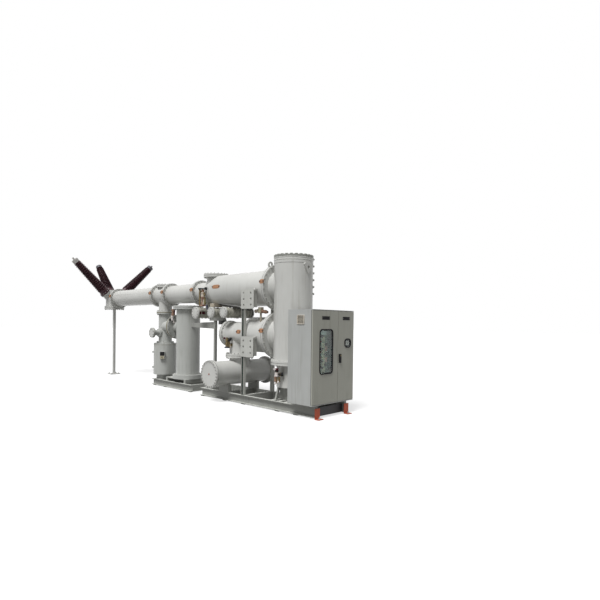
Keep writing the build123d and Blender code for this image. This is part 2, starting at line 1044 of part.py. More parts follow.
with BuildPart() as stand:
    slab(
        upright(stand_offset, (rail_start + rail_end) / 2, rail_top - rail_height),
        rail_width,
        rail_end - rail_start,
        rail_height,
    )
    slab(
        upright(stand_offset, stand_place, beam_top),
        stand_width,
        stand_width,
        rail_top - rail_height - beam_top,
    )
    # tapered brace to the arrester tank
    brace_top = mechanism_height - brace_drop + brace_height / 2
    brace_plane = along_x(stand_offset - brace_width / 2, 0, 0)
    with BuildSketch(brace_plane) as brace:
        with BuildLine():
            Polyline(
                (stand_place, brace_top + brace_spread / 2),
                (arrester_place, brace_top),
                (arrester_place, brace_top - brace_height),
                (stand_place, brace_top - brace_height - brace_spread / 2),
                close=True,
            )
        make_face()
    extrude(brace.sketch, amount=brace_width)
    drum(
        upright(0, arrester_place, 0),
        arrester_radius + brace_clearance,
        upper_height,
        mode=Mode.SUBTRACT,
    )
write(stand, "mechanism_stand")

# --- line skid, arrester, voltage transformer ---------------------------------------

with BuildPart() as line_skid:
    for side in (-1, 1):
        beam_start = line_skid_front if side < 0 else line_skid_back
        beam_plane = Plane(
            origin=(
                side * (line_skid_half_width - line_beam_width),
                beam_start,
                pad_height + line_beam_height / 2,
            ),
            x_dir=(side, 0, 0),
            z_dir=(0, -side, 0),
        )
        channel(
            beam_plane,
            line_beam_height,
            line_beam_width,
            beam_web,
            beam_flange_thickness,
            line_skid_back - line_skid_front,
        )
    for place in line_cross_places:
        slab(
            upright(0, place, pad_height),
            2 * (line_skid_half_width - line_beam_width),
            line_beam_width,
            line_beam_height,
        )
write(line_skid, "line_skid")

# base frame of the arrester: a plate on a front and a back bar, open at the sides
with BuildPart() as arrester_base:
    base_start = arrester_place - arrester_base_front
    base_end = arrester_place + arrester_base_back
    slab(
        upright(0, (base_start + base_end) / 2, line_beam_top + arrester_base_height),
        2 * arrester_base_half_width,
        base_end - base_start,
        arrester_plate,
    )
    for place in (base_start + arrester_base_bar / 2, base_end - arrester_base_bar / 2):
        slab(
            upright(0, place, line_beam_top),
            2 * arrester_base_half_width,
            arrester_base_bar,
            arrester_base_height,
        )
write(arrester_base, "arrester_base")

with BuildPart() as arrester:
    turned(
        upright(0, arrester_place, arrester_base_top),
        [
            (0, arrester_flange_radius),
            (arrester_foot_flange, arrester_flange_radius),
            (arrester_foot_flange, arrester_radius),
            (arrester_top - flange_pair - arrester_base_top, arrester_radius),
            (arrester_top - flange_pair - arrester_base_top, arrester_flange_radius),
            (arrester_top - flange_thickness - arrester_base_top, arrester_flange_radius),
        ],
    )
    drum(along_y(0, arrester_place, link_height), link_radius, link_place)
    drum(
        along_y(0, link_face - flange_thickness, link_height),
        link_flange_radius,
        flange_thickness,
    )
    drum(
        upright(0, arrester_place, arrester_base_top),
        arrester_radius - tank_wall,
        arrester_top - arrester_base_top,
        mode=Mode.SUBTRACT,
    )
    drum(
        along_y(0, arrester_place, link_height),
        link_radius - tank_wall,
        link_place,
        mode=Mode.SUBTRACT,
    )
write(arrester, "arrester_tank")

with BuildPart() as arrester_cover:
    drum(
        upright(0, arrester_place, arrester_top - flange_thickness),
        arrester_flange_radius,
        flange_thickness,
    )
write(arrester_cover, "arrester_cover")

port_face = port_disc - port_reach
with BuildPart() as vt_cross:
    drum(upright(0, vt_place, vt_lid_top), vt_neck_radius, vt_neck_split - vt_lid_top)
    drum(
        upright(0, vt_place, vt_neck_split - flange_thickness),
        vt_flange_radius,
        flange_thickness,
    )
    drum(upright(0, vt_place, vt_lid_top), vt_flange_radius, flange_thickness)
    drum(along_y(0, link_face, link_height), link_radius, vt_place - link_face)
    drum(along_y(0, link_face, link_height), link_flange_radius, flange_thickness)
    drum(along_x(port_face, vt_place, port_height), port_radius, -port_face)
    drum(along_x(port_face, vt_place, port_height), port_disc_radius, port_disc)
    drum(
        along_x(-vt_neck_radius - port_disc, vt_place, port_height),
        port_collar_radius,
        vt_neck_radius,
    )
    drum(
        upright(0, vt_place, vt_lid_top),
        vt_neck_radius - tank_wall,
        vt_neck_split - vt_lid_top,
        mode=Mode.SUBTRACT,
    )
    drum(
        along_y(0, link_face, link_height),
        link_radius - tank_wall,
        vt_place - link_face,
        mode=Mode.SUBTRACT,
    )
write(vt_cross, "vt_cross_piece")

with BuildPart() as vt_tank:
    drum(upright(0, vt_place, vt_tank_bottom), vt_tank_radius, vt_tank_height)
    # terminal box and two lifting stubs on the wall
    box_direction = Vector(1, 0, 0).rotate(Axis.Z, vt_box_turn)
    box_plane = Plane(
        origin=(0, vt_place, vt_tank_bottom + vt_box_rise),
        x_dir=Vector(0, 1, 0).rotate(Axis.Z, vt_box_turn),
        z_dir=box_direction,
    )
    slab(box_plane, vt_box_width, vt_box_height, vt_tank_radius + vt_box_depth)
    for height in (vt_tank_height - cover_radius / 2, cover_radius / 2):
        stub_plane = Plane(
            origin=(0, vt_place, vt_tank_bottom + height),
            x_dir=Vector(0, 1, 0).rotate(Axis.Z, vt_lug_turn),
            z_dir=Vector(1, 0, 0).rotate(Axis.Z, vt_lug_turn),
        )
        drum(stub_plane, vt_lug_size / 2, vt_tank_radius + vt_lug_size)
    drum(
        upright(0, vt_place, vt_tank_bottom + tank_wall),
        vt_tank_radius - tank_wall,
        vt_tank_height,
        mode=Mode.SUBTRACT,
    )
    drum(upright(0, vt_place, line_beam_top), vt_skirt_radius, vt_skirt_height)
    drum(
        upright(0, vt_place, line_beam_top),
        vt_skirt_radius - tank_wall,
        vt_skirt_height,
        mode=Mode.SUBTRACT,
    )
write(vt_tank, "vt_tank")

with BuildPart() as vt_lid:
    drum(upright(0, vt_place, vt_tank_top), vt_tank_radius, cover_plate)
write(vt_lid, "vt_tank_lid")

# --- outlet, bushings, leg ----------------------------------------------------------

with BuildPart() as outlet:
    outlet_wall_start = outlet_bottom + cover_plate
    drum(upright(0, outlet_place, outlet_wall_start), outlet_radius, outlet_top - outlet_wall_start)
    drum(upright(0, outlet_place, outlet_wall_start), outlet_flange_radius, cover_plate)
    drum(along_y(0, outlet_inlet, upper_height), line_radius, outlet_place - outlet_inlet)
    drum(along_y(0, outlet_inlet, upper_height), line_flange_radius, flange_thickness)
    for turn in bushing_turns:
        drum(leaning(turn, 0), turret_radius, bushing_flange_place)
        drum(
            leaning(turn, bushing_flange_place - cover_plate),
            bushing_flange_radius,
            cover_plate,
        )
    # each bushing's seat is faced flat
    for turn in bushing_turns:
        drum(
            leaning(turn, bushing_flange_place),
            bushing_flange_radius + saddle_clearance,
            outlet_radius,
            mode=Mode.SUBTRACT,
        )
    drum(
        upright(0, outlet_place, outlet_wall_start),
        outlet_radius - tank_wall,
        outlet_top - outlet_wall_start - tank_wall,
        mode=Mode.SUBTRACT,
    )
    drum(
        along_y(0, outlet_inlet, upper_height),
        line_radius - tank_wall,
        outlet_place - outlet_inlet,
        mode=Mode.SUBTRACT,
    )
    for turn in bushing_turns:
        drum(
            leaning(turn, 0),
            turret_radius - tank_wall,
            bushing_flange_place,
            mode=Mode.SUBTRACT,
        )
write(outlet, "outlet_housing")

with BuildPart() as blind_covers:
    drum(upright(0, tee_place, tee_neck_top - cover_plate), tee_cover_radius, cover_plate)
    drum(upright(0, vt_place, vt_tee_top), vt_flange_radius, cover_plate)
    drum(
        along_y(0, disconnector_end, middle_height),
        disconnector_radius + flange_lip,
        cover_plate,
    )
    drum(along_x(-port_reach, vt_place, port_height), port_disc_radius, port_disc)
    drum(upright(0, outlet_place, outlet_bottom), outlet_flange_radius, cover_plate)
write(blind_covers, "blind_covers")

# porcelain insulators: a tapering core with long and short sheds by turns
porcelain_start = bushing_flange_place + cover_plate + bushing_collar
shed_pitch = (porcelain_end - porcelain_start) / shed_count
core_taper = (bushing_foot_core - bushing_head_core) / shed_count
porcelain_profile = [
    (0, bushing_flange_radius),
    (cover_plate, bushing_flange_radius),
    (cover_plate, bushing_collar_radius),
    (cover_plate + bushing_collar, bushing_collar_radius),
]
for shed in range(shed_count):
    shed_start = cover_plate + bushing_collar + shed * shed_pitch
    core = bushing_foot_core - shed * core_taper
    rim = core + (short_shed if shed % 2 else long_shed)
    porcelain_profile += [
        (shed_start, core),
        (shed_start + shed_pitch - shed_rim - shed_slope, core),
        (shed_start + shed_pitch - shed_rim - shed_slope, rim),
        (shed_start + shed_pitch - shed_slope, rim),
    ]
porcelain_profile.append((porcelain_end - bushing_flange_place, bushing_head_core))
with BuildPart() as bushings:
    for turn in bushing_turns:
        turned(leaning(turn, bushing_flange_place), porcelain_profile)
write(bushings, "bushings")

with BuildPart() as terminals:
    for turn in bushing_turns:
        turned(
            leaning(turn, porcelain_end),
            [
                (0, cap_radius),
                (cap_height, cap_radius),
                (cap_height, stud_radius),
                (cap_height + stud_length, stud_radius),
            ],
        )
write(terminals, "bushing_terminals")

with BuildPart() as leg:
    slab(upright(0, outlet_place, 0), leg_base, leg_base, leg_base_plate)
    leg_length = outlet_bottom - leg_base_plate - leg_cap_plate
    slab(upright(0, outlet_place, leg_base_plate), leg_width, leg_width, leg_length)
    slab(
        upright(0, outlet_place, leg_base_plate),
        leg_width - 2 * leg_wall,
        leg_width - 2 * leg_wall,
        leg_length,
        mode=Mode.SUBTRACT,
    )
    slab(upright(0, outlet_place, outlet_bottom - leg_cap_plate), leg_cap, leg_cap, leg_cap_plate)
    with BuildSketch(upright(0, outlet_place, 0)) as bolt_square:
        with GridLocations(leg_bolt_spacing, leg_bolt_spacing, 2, 2):
            Circle(anchor_hole)
    extrude(bolt_square.sketch, amount=leg_base_plate, mode=Mode.SUBTRACT)
write(leg, "outlet_leg")

# --- bonding straps and gas fittings ------------------------------------------------

# copper straps that bridge the flange pairs and the weld seam
strap_start = -flange_thickness - strap_overhang
strap_over_flanges = flange_pair + 2 * strap_overhang
strap_seats = (
    (nozzle_reach + strap_start, upper_height, nozzle_flange_radius, strap_over_flanges),
    (nozzle_reach + strap_start, middle_height, nozzle_flange_radius, strap_over_flanges),
    (upper_end - strap_over_seam / 2, upper_height, upper_radius, strap_over_seam),
    (middle_end + strap_lead, middle_height, disconnector_radius, strap_on_tank),
    (line_tee_end + strap_start, upper_height, line_flange_radius, strap_over_flanges),
    (vt_tee_start + strap_start, upper_height, line_flange_radius, strap_over_flanges),
    (vt_tee_end + strap_start, upper_height, line_flange_radius, strap_over_flanges),
    (outlet_inlet + strap_start, upper_height, line_flange_radius, strap_over_flanges),
)
with BuildPart() as straps:
    for start, height, radius, length in strap_seats:
        strap(along_y(0, start, height), radius, strap_angle, length)
write(straps, "bonding_straps")

# gas valves: a collar on the wall, an upright body and a round knob on top
valve_seats = (
    (-line_radius, shoulder_end + valve_lead, upper_height),
    (-branch_radius, branch_place, (branch_split + middle_height) / 2),
    (-drive_radius, 0, drive_bottom + drive_height / 2),
)
with BuildPart() as valves:
    for seat, arm, rise, drop in zip(valve_seats, valve_arms, valve_rises, valve_drops):
        wall, place, height = seat
        valve_x = wall - valve_nut_length - arm - valve_body_radius
        drum(along_x(wall - valve_nut_length, place, height), valve_nut_radius, valve_nut_length)
        drum(along_x(valve_x, place, height), valve_arm_radius, wall - valve_x)
        drum(upright(valve_x, place, height - drop), valve_body_radius, drop + rise)
write(valves, "gas_valves")

with BuildPart() as knobs:
    for seat, arm, rise in zip(valve_seats, valve_arms, valve_rises):
        wall, place, height = seat
        valve_x = wall - valve_nut_length - arm - valve_body_radius
        drum(upright(valve_x, place, height + rise), knob_radius, knob_length)
write(knobs, "valve_knobs")

# gas density monitor on a stem above the middle tank
monitor_bottom = upper_height - monitor_drop
with BuildPart() as monitor:
    slab(
        upright(monitor_offset, monitor_place, monitor_bottom),
        monitor_width,
        monitor_width,
        monitor_height,
    )
    slab(
        upright(monitor_offset, monitor_place, middle_height),
        monitor_stem,
        monitor_stem,
        monitor_bottom - middle_height,
    )
    drum(
        along_y(0, nozzle_reach, middle_height),
        middle_radius,
        middle_length,
        mode=Mode.SUBTRACT,
    )
write(monitor, "density_monitor")
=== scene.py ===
"""Gas insulated breaker bay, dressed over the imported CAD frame. Metres, +Z up, +Y along the bay."""

import json
from math import radians

import bpy
import numpy as np
from mathutils import Euler, Matrix, Vector


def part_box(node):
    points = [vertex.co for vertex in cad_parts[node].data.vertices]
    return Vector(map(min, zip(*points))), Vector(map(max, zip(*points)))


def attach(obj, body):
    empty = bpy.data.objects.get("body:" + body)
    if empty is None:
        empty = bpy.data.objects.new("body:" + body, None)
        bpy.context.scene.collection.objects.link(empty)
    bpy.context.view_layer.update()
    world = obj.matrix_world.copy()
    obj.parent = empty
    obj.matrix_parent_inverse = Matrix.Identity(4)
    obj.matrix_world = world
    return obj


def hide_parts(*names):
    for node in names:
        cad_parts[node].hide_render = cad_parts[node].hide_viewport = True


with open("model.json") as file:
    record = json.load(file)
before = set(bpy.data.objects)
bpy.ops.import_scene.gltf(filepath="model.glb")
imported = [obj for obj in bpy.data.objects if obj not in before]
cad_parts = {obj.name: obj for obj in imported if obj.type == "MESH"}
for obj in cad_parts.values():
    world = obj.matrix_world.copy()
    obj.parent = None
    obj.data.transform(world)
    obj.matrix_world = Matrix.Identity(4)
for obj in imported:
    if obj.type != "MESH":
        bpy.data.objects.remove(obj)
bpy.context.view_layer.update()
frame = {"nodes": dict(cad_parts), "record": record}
cad = frame["nodes"]

# --- studio ---
# The camera stands in front of the cabinet and to its left, at a person's eye height.
# The light is a plain studio's: a broad soft lamp from the upper left and an even sky.
# The ground is pale and goes on without an edge; it only takes the bay's soft shadow.


def node(tree, kind, inputs=None, **settings):
    """New shader node. Settings are its properties; an input takes a value or a socket."""
    made = tree.nodes.new("ShaderNode" + kind)
    for key, value in settings.items():
        setattr(made, key, value)
    for key, value in (inputs or {}).items():
        if isinstance(value, bpy.types.NodeSocket):
            tree.links.new(value, made.inputs[key])
        else:
            made.inputs[key].default_value = value
    return made


def two_faced(tree, output, lit, shown):
    """Ends a tree in one shader for bounced light and another for rays from the camera, a
    mirror or a glass."""
    path = node(tree, "LightPath").outputs
    direct = node(
        tree, "Math", {0: path["Is Camera Ray"], 1: path["Is Glossy Ray"]}, operation="MAXIMUM"
    )
    through = {0: direct.outputs[0], 1: path["Is Transmission Ray"]}
    seen = node(tree, "Math", through, operation="MAXIMUM").outputs[0]
    both = node(tree, "MixShader", {0: seen, 1: lit.outputs[0], 2: shown.outputs[0]})
    node(tree, output, {0: both.outputs[0]})


eye = Vector((-6.503, -6.452, 1.713))
heading = 46.12
tilt = -0.58
roll = 0.67
camera = bpy.data.objects.new("view", bpy.data.cameras.new("view"))
camera.data.lens = 27.17
camera.data.sensor_width = 36
camera.data.shift_y = 0.0477
turned = Euler((radians(90 + tilt), 0, radians(-heading))).to_matrix()
turned = turned @ Matrix.Rotation(radians(roll), 3, "Z")
camera.matrix_world = Matrix.Translation(eye) @ turned.to_4x4()

lamp = bpy.data.objects.new("soft_lamp", bpy.data.lights.new("soft_lamp", "SUN"))
lamp.data.energy = 3.3
lamp.data.angle = radians(25)
lamp_from = Vector((-0.60, -0.16, 1.05))
lamp.rotation_euler = lamp_from.to_track_quat("Z", "Y").to_euler()

pure_white = (1, 1, 1, 1)
sky_level = 0.27
world = bpy.data.worlds.new("studio")
world.use_nodes = True
sky = world.node_tree
sky.nodes.clear()
dim_sky = node(sky, "Background", {"Color": pure_white, "Strength": sky_level})
white_sky = node(sky, "Background", {"Color": pure_white, "Strength": 1.0})
two_faced(sky, "OutputWorld", dim_sky, white_sky)

ground_material = bpy.data.materials.new("studio_ground")
ground_material.use_nodes = True
ground_tree = ground_material.node_tree
ground_tree.nodes.clear()
matt = node(ground_tree, "BsdfDiffuse", {"Color": (0.26, 0.26, 0.25, 1)})
lit = node(ground_tree, "BsdfDiffuse", {"Color": (0.42, 0.42, 0.42, 1)})
glow = node(ground_tree, "Emission", {"Color": pure_white, "Strength": 0.66})
bright = node(ground_tree, "AddShader", {0: lit.outputs[0], 1: glow.outputs[0]})
two_faced(ground_tree, "OutputMaterial", matt, bright)
reach = 120
ground_z = -0.001
corners = [(x * reach, y * reach, ground_z) for x, y in ((-1, -1), (1, -1), (1, 1), (-1, 1))]
ground_mesh = bpy.data.meshes.new("studio_ground")
ground_mesh.from_pydata(corners, [], [(0, 1, 2, 3)])
ground_mesh.materials.append(ground_material)
ground = bpy.data.objects.new("studio_ground", ground_mesh)

scene = bpy.context.scene
for thing in (camera, lamp, ground):
    scene.collection.objects.link(thing)
scene.camera = camera
scene.world = world
scene.view_settings.view_transform = "Standard"

# --- skid, pads and plinth ---
# Two rolled channels with welded cross members and levelling pads carry the bay.
# Shop-sprayed grey paint over rolled steel: streaked, chipped on its edges, and pale on top, partly dust and
# partly a painted top light.


def group(name, inputs, outputs):
    """Empty node group with those sockets, its input sockets and its output node."""
    tree = bpy.data.node_groups.new(name, "ShaderNodeTree")
    for label, kind, value in inputs:
        socket = tree.interface.new_socket(label, in_out="INPUT", socket_type="NodeSocket" + kind)
        socket.default_value = value
    for label, kind in outputs:
        tree.interface.new_socket(label, in_out="OUTPUT", socket_type="NodeSocket" + kind)
    return tree, tree.nodes.new("NodeGroupInput").outputs, tree.nodes.new("NodeGroupOutput")


def spread(tree, value, low, high, start=0.0, end=1.0):
    """The value's range from low to high, laid over the range from start to end."""
    return node(tree, "MapRange", {0: value, 1: low, 2: high, 3: start, 4: end}).outputs[0]


def noise_mask(tree, scale, low, high, stretch=(1, 1, 1), detail=3.0):
    """Noise on object coordinates, cut between two levels to a mask from 0 to 1."""
    place = node(tree, "TexCoord").outputs["Object"]
    moved = node(tree, "Mapping", {"Vector": place, "Scale": stretch}).outputs[0]
    cloud = node(tree, "TexNoise", {"Vector": moved, "Scale": scale, "Detail": detail})
    return spread(tree, cloud.outputs["Fac"], low, high)


def product(tree, *values):
    """Product of several masks."""
    result = values[0]
    for value in values[1:]:
        result = node(tree, "Math", {0: result, 1: value}, operation="MULTIPLY").outputs[0]
    return result


# Weather: Tone drifts slowly over the surface, Streaks run down upright faces, and the up-facing mask
# covers faces that look up: settled dust, and on the skid's frame a painted top light too. All three are
# masks from 0 to 1.
weather, _, weather_out = group(
    "weather", [], [("Tone", "Float"), ("Streaks", "Float"), ("Dust", "Float")]
)
facing = node(weather, "NewGeometry").outputs["Normal"]
facing_z = node(weather, "SeparateXYZ", {0: facing}).outputs["Z"]
steepness = node(weather, "Math", {0: facing_z}, operation="ABSOLUTE").outputs[0]
upright = spread(weather, steepness, 0.9, 0.3)
upward = spread(weather, facing_z, 0.25, 0.95)
slow = noise_mask(weather, 1.6, 0.3, 0.7)
runs = noise_mask(weather, 1.0, 0.5, 0.72, stretch=(16, 16, 1.3), detail=4.0)
patches = noise_mask(weather, 2.3, 0.4, 0.65)
specks = noise_mask(weather, 22.0, 0.25, 0.75)
weather.links.new(slow, weather_out.inputs["Tone"])
weather.links.new(product(weather, upright, runs, patches), weather_out.inputs["Streaks"])
weather.links.new(product(weather, upward, specks), weather_out.inputs["Dust"])

# Edges: the surface's own normal against one rounded over a small radius. Where they
# part there is an edge, and Wear takes bites out of it. Normal is the rounded one.
edges, edges_in, edges_out = group(
    "edges", [("Radius", "Float", 0.004)], [("Wear", "Float"), ("Normal", "Vector")]
)
rounded = node(edges, "Bevel", {"Radius": edges_in["Radius"]}, samples=4).outputs[0]
flat_normal = node(edges, "NewGeometry").outputs["Normal"]
along = node(edges, "VectorMath", {0: rounded, 1: flat_normal}, operation="DOT_PRODUCT")
corner = spread(edges, along.outputs["Value"], 0.985, 0.86)
bites = noise_mask(edges, 38.0, 0.48, 0.62)
edges.links.new(product(edges, corner, bites), edges_out.inputs["Wear"])
edges.links.new(rounded, edges_out.inputs["Normal"])

# Skin: the fine pebbled height that a sprayed coat dries to.
skin, skin_in, skin_out = group("skin", [("Grain", "Float", 160.0)], [("Height", "Float")])
skin_place = node(skin, "TexCoord").outputs["Object"]
pebbles = node(skin, "TexNoise", {"Vector": skin_place, "Scale": skin_in["Grain"]})
skin.links.new(pebbles.outputs["Fac"], skin_out.inputs["Height"])


def mixed(tree, share, under, over):
    """Colour between two, as far toward the second as the share says.

    The Mix node takes its two colours on sockets 6 and 7 and gives one on output 2.
    """
    return node(tree, "Mix", {0: share, 6: under, 7: over}, data_type="RGBA").outputs[2]


def blended(tree, mask, amount, under, over):
    """Colour under, covered by colour over where the mask is, as far as the amount."""
    return mixed(tree, product(tree, mask, amount), under, over)


def bumped(tree, height, normal, distance, strength):
    """Normal with a fine relief of the height on it."""
    relief = {"Height": height, "Normal": normal, "Distance": distance, "Strength": strength}
    return node(tree, "Bump", relief).outputs[0]


def new_material(name):
    """New material, its tree and its Principled shader's sockets."""
    material = bpy.data.materials.new(name)
    material.use_nodes = True
    tree = material.node_tree
    return material, tree, tree.nodes["Principled BSDF"].inputs


def surfaced(tree, sockets, colour, mask, dull, duller, normal):
    """Links a colour, a roughness between two values by a mask, and a normal."""
    tree.links.new(colour, sockets["Base Color"])
    tree.links.new(spread(tree, mask, 0, 1, dull, duller), sockets["Roughness"])
    tree.links.new(normal, sockets["Normal"])


def painted(
    name,
    paint,
    grime,
    chip,
    tone=0.10,
    streaks=0.35,
    dust_and_top_light=0.30,
    dust_and_top_light_colour=(0.47, 0.44, 0.38),
    wear=0.6,
    roughness=0.45,
):
    """Sprayed paint: tone drift, rain streaks, dust on faces that look up (a pale dust colour there is a
    painted top light), chipped edges and a pebbled skin.
    """
    material, tree, sockets = new_material(name)
    marks = node(tree, "Group", node_tree=weather).outputs
    rims = node(tree, "Group", node_tree=edges).outputs
    paler = [c * (1 + tone) for c in paint] + [1]
    darker = [c * (1 - tone) for c in paint] + [1]
    colour = mixed(tree, marks["Tone"], darker, paler)
    colour = blended(tree, marks["Streaks"], streaks, colour, [*grime, 1])
    colour = blended(tree, marks["Dust"], dust_and_top_light, colour, [*dust_and_top_light_colour, 1])
    colour = blended(tree, rims["Wear"], wear, colour, [*chip, 1])
    height = node(tree, "Group", node_tree=skin).outputs["Height"]
    normal = bumped(tree, height, rims["Normal"], 0.0006, 0.5)
    surfaced(tree, sockets, colour, marks["Dust"], roughness, roughness + 0.3, normal)
    return material


def dress(material, *names):
    """Gives CAD nodes a material in place of their plain one."""
    for name in names:
        cad[name].data.materials.clear()
        cad[name].data.materials.append(material)


# the pale colour laid fully on up-facing faces is partly dust and partly a painted top light on the beam
# tops
frame_paint = painted(
    "frame_paint",
    paint=(0.300, 0.305, 0.285),
    grime=(0.10, 0.095, 0.08),
    chip=(0.16, 0.12, 0.09),
    streaks=0.5,
    dust_and_top_light=1.0,
    dust_and_top_light_colour=(0.74, 0.75, 0.70),
)
dress(frame_paint, "skid_beams", "skid_cross_members", "levelling_pads", "cabinet_plinth")

# --- anchor feet ---
# Angle feet welded to the skid's front ends and left in their orange-red primer.
# Galvanised anchor bolts with a washer and a nut hold them to the floor.


def lofted(loops, close=False):
    """Skin over a row of closed loops with equal counts of points.

    Its two ends are shut by flat faces, or the last loop joins the first where it closes.
    """
    rows, steps = loops.shape[:2]
    here = np.arange(steps)
    beyond = (here + 1) % steps
    low = np.arange(rows if close else rows - 1)[:, None] * steps
    top = (low + steps) % (rows * steps)
    quads = np.stack([low + here, low + beyond, top + beyond, top + here], -1).reshape(-1, 4)
    ends = [] if close else [np.stack([here[::-1], (rows - 1) * steps + here])]
    return loops.reshape(-1, 3), [quads, *ends]


def carried(outline, normals, profile, close=False):
    """Profile carried round a closed outline in the local xy plane.

    Point (i, j) is outline point j, moved by a_i along its outward normal and raised by
    b_i, where (a_i, b_i) is the profile's point i. A profile that closes on itself makes
    a ring; any other is shut by flat faces at its two ends.
    """
    push, rise = np.array(profile, float).T
    flat = outline[None] + push[:, None, None] * normals[None]
    high = np.broadcast_to(rise[:, None, None], flat.shape[:2] + (1,))
    return lofted(np.concatenate([flat, high], -1), close)


def lathe(profile, steps, close=False):
    """Surface of revolution about local z: the profile (radius, height) is carried once round."""
    turn = np.linspace(0, 2 * np.pi, steps, endpoint=False)
    spokes = np.stack([np.cos(turn), np.sin(turn)], -1)
    return carried(np.zeros((steps, 2)), spokes, profile, close)


def aim(direction):
    """Three unit rows: local x and y across the direction, local z along it."""
    along = np.array(direction, float)
    along /= np.linalg.norm(along)
    up = np.array([0, 0, 1.0]) if abs(along[2]) < 0.99 else np.array([0, 1.0, 0])
    across = np.cross(up, along)
    across /= np.linalg.norm(across)
    return np.stack([across, np.cross(along, across), along])


def placed(shape, place, direction=(0, 0, 1)):
    """The shape with its local z along the direction and its origin at the place."""
    points, faces = shape
    return points @ aim(direction) + np.array(place, float), faces


def stamped(shape, places, direction):
    """Copies of a shape at many places, all turned to one direction, as one shape."""
    points, faces = shape
    copies = (points @ aim(direction))[None] + places[:, None]
    starts = np.arange(len(places))[:, None, None] * len(points)
    moved = [(starts + face[None]).reshape(-1, face.shape[1]) for face in faces]
    return copies.reshape(-1, 3), moved


def joined(shapes):
    """Several shapes as one: each one's faces count on from the points before it."""
    counts = [len(points) for points, _ in shapes]
    starts = np.cumsum([0] + counts[:-1])
    faces = [face + start for (_, many), start in zip(shapes, starts) for face in many]
    return np.concatenate([points for points, _ in shapes]), faces


def piece(name, shapes, material, body="bay"):
    """Object of one mesh from several shapes, smooth but for its sharp edges, on a body."""
    points, faces = joined(shapes)
    mesh = bpy.data.meshes.new(name)
    mesh.from_pydata(points.tolist(), [], [face for many in faces for face in many.tolist()])
    mesh.polygons.foreach_set("use_smooth", np.ones(len(mesh.polygons), bool))
    mesh.set_sharp_from_angle(angle=radians(32))
    mesh.materials.append(material)
    made = bpy.data.objects.new(name, mesh)
    scene.collection.objects.link(made)
    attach(made, body)
    return made


def bolt(size):
    """Hexagon head with a chamfered top on a round washer. Size is the head's half width."""
    washer = lathe([(1.35 * size, 0), (1.35 * size, 0.22 * size), (1.25 * size, 0.3 * size)], 12)
    head = [(size, 0.3 * size), (size, 1.2 * size), (0.85 * size, 1.4 * size)]
    return joined([washer, lathe(head, 6)])


def stud(size):
    """Nut on a washer with the end of a threaded stud standing out of it."""
    end = [(0.55 * size, 1.3 * size), (0.55 * size, 2.1 * size), (0.45 * size, 2.2 * size)]
    return joined([bolt(size), lathe(end, 10)])


def metal(name, colour, dark, roughness=0.4, metallic=0.9):
    """Bare or plated metal: mottled colour, uneven polish and a fine grain."""
    material, tree, sockets = new_material(name)
    sockets["Metallic"].default_value = metallic
    mottle = noise_mask(tree, 45.0, 0.35, 0.7)
    rims = node(tree, "Group", {"Radius": 0.002}, node_tree=edges).outputs
    bright_rim = [min(1, c * 1.4) for c in colour] + [1]
    shown = mixed(tree, mottle, [*colour, 1], [*dark, 1])
    shown = blended(tree, rims["Wear"], 0.5, shown, bright_rim)
    normal = bumped(tree, mottle, rims["Normal"], 0.0004, 0.4)
    surfaced(tree, sockets, shown, mottle, roughness, roughness + 0.2, normal)
    return material


foot_primer = painted(
    "foot_primer",
    paint=(0.50, 0.085, 0.030),
    grime=(0.16, 0.06, 0.04),
    chip=(0.20, 0.13, 0.10),
    tone=0.18,
    streaks=0.5,
    wear=0.8,
    roughness=0.55,
)
dress(foot_primer, "anchor_feet")

zinc = metal("galvanised", (0.42, 0.42, 0.41), (0.25, 0.25, 0.25), roughness=0.45, metallic=0.7)
mounts = {mount["name"]: mount for mount in frame["record"]["mounts"]}
anchor = mounts["anchor_bolts"]
anchor_x = anchor["dims"]["spacing_x_mm"] / 2000
foot_top = 0.012
foot_places = [(side * anchor_x, anchor["pos_m"][1], foot_top) for side in (-1, 1)]
leg_bolt = mounts["leg_bolts"]
leg_place = leg_bolt["pos_m"][1]
leg_gap = leg_bolt["dims"]["spacing_x_mm"] / 2000
leg_plate_top = 0.020
for x in (-leg_gap, leg_gap):
    foot_places += [(x, leg_place + y, leg_plate_top) for y in (-leg_gap, leg_gap)]
anchor_nuts = stamped(stud(0.017), np.array(foot_places), (0, 0, 1))
piece("anchor_nuts", [anchor_nuts], zinc)

# --- control cabinet ---
# Folded sheet steel case with a roof and a floor that reach over two door leaves.
# Powder coated in a cool grey, the leaves greener than the case; they turn on upright pins.

cabinet_paint = painted(
    "cabinet_paint",
    paint=(0.415, 0.425, 0.415),
    grime=(0.20, 0.19, 0.15),
    chip=(0.55, 0.56, 0.54),
    tone=0.06,
    streaks=0.28,
    dust_and_top_light=0.25,
    wear=0.35,
    roughness=0.42,
)
door_paint = painted(
    "door_paint",
    paint=(0.370, 0.372, 0.325),
    grime=(0.17, 0.165, 0.12),
    chip=(0.55, 0.56, 0.52),
    tone=0.06,
    streaks=0.30,
    wear=0.35,
    roughness=0.42,
)
dress(cabinet_paint, "cabinet_shell")
dress(door_paint, "left_door", "right_door")
dress(zinc, "cabinet_hinges")

# --- door windows ---
# Green-tinted panes held in black rubber profiles that grip the edge of each opening.
# The tall pane shows the switches; the small rounded one shows a single meter.


def rounded_outline(width, height, corner, steps=7):
    """Rounded rectangle about the origin, counter-clockwise: its points and outward normals.

    Four quarter circles of the corner's radius stand at the four corners, and the
    straight sides join them.
    """
    quarter = np.linspace(0, np.pi / 2, steps)
    turn = (np.arange(4)[:, None] * np.pi / 2 + quarter).ravel()
    spokes = np.stack([np.cos(turn), np.sin(turn)], -1)
    signs = np.array([(1, 1), (-1, 1), (-1, -1), (1, -1)])
    centres = signs * (width / 2 - corner, height / 2 - corner)
    return np.repeat(centres, steps, axis=0) + corner * spokes, spokes


def plate(width, height, depth, corner, edge=0.001):
    """Flat plate with rounded corners and a small chamfer round its face."""
    outline = rounded_outline(width, height, corner)
    return carried(*outline, [(0, 0), (0, depth - edge), (-edge, depth)])


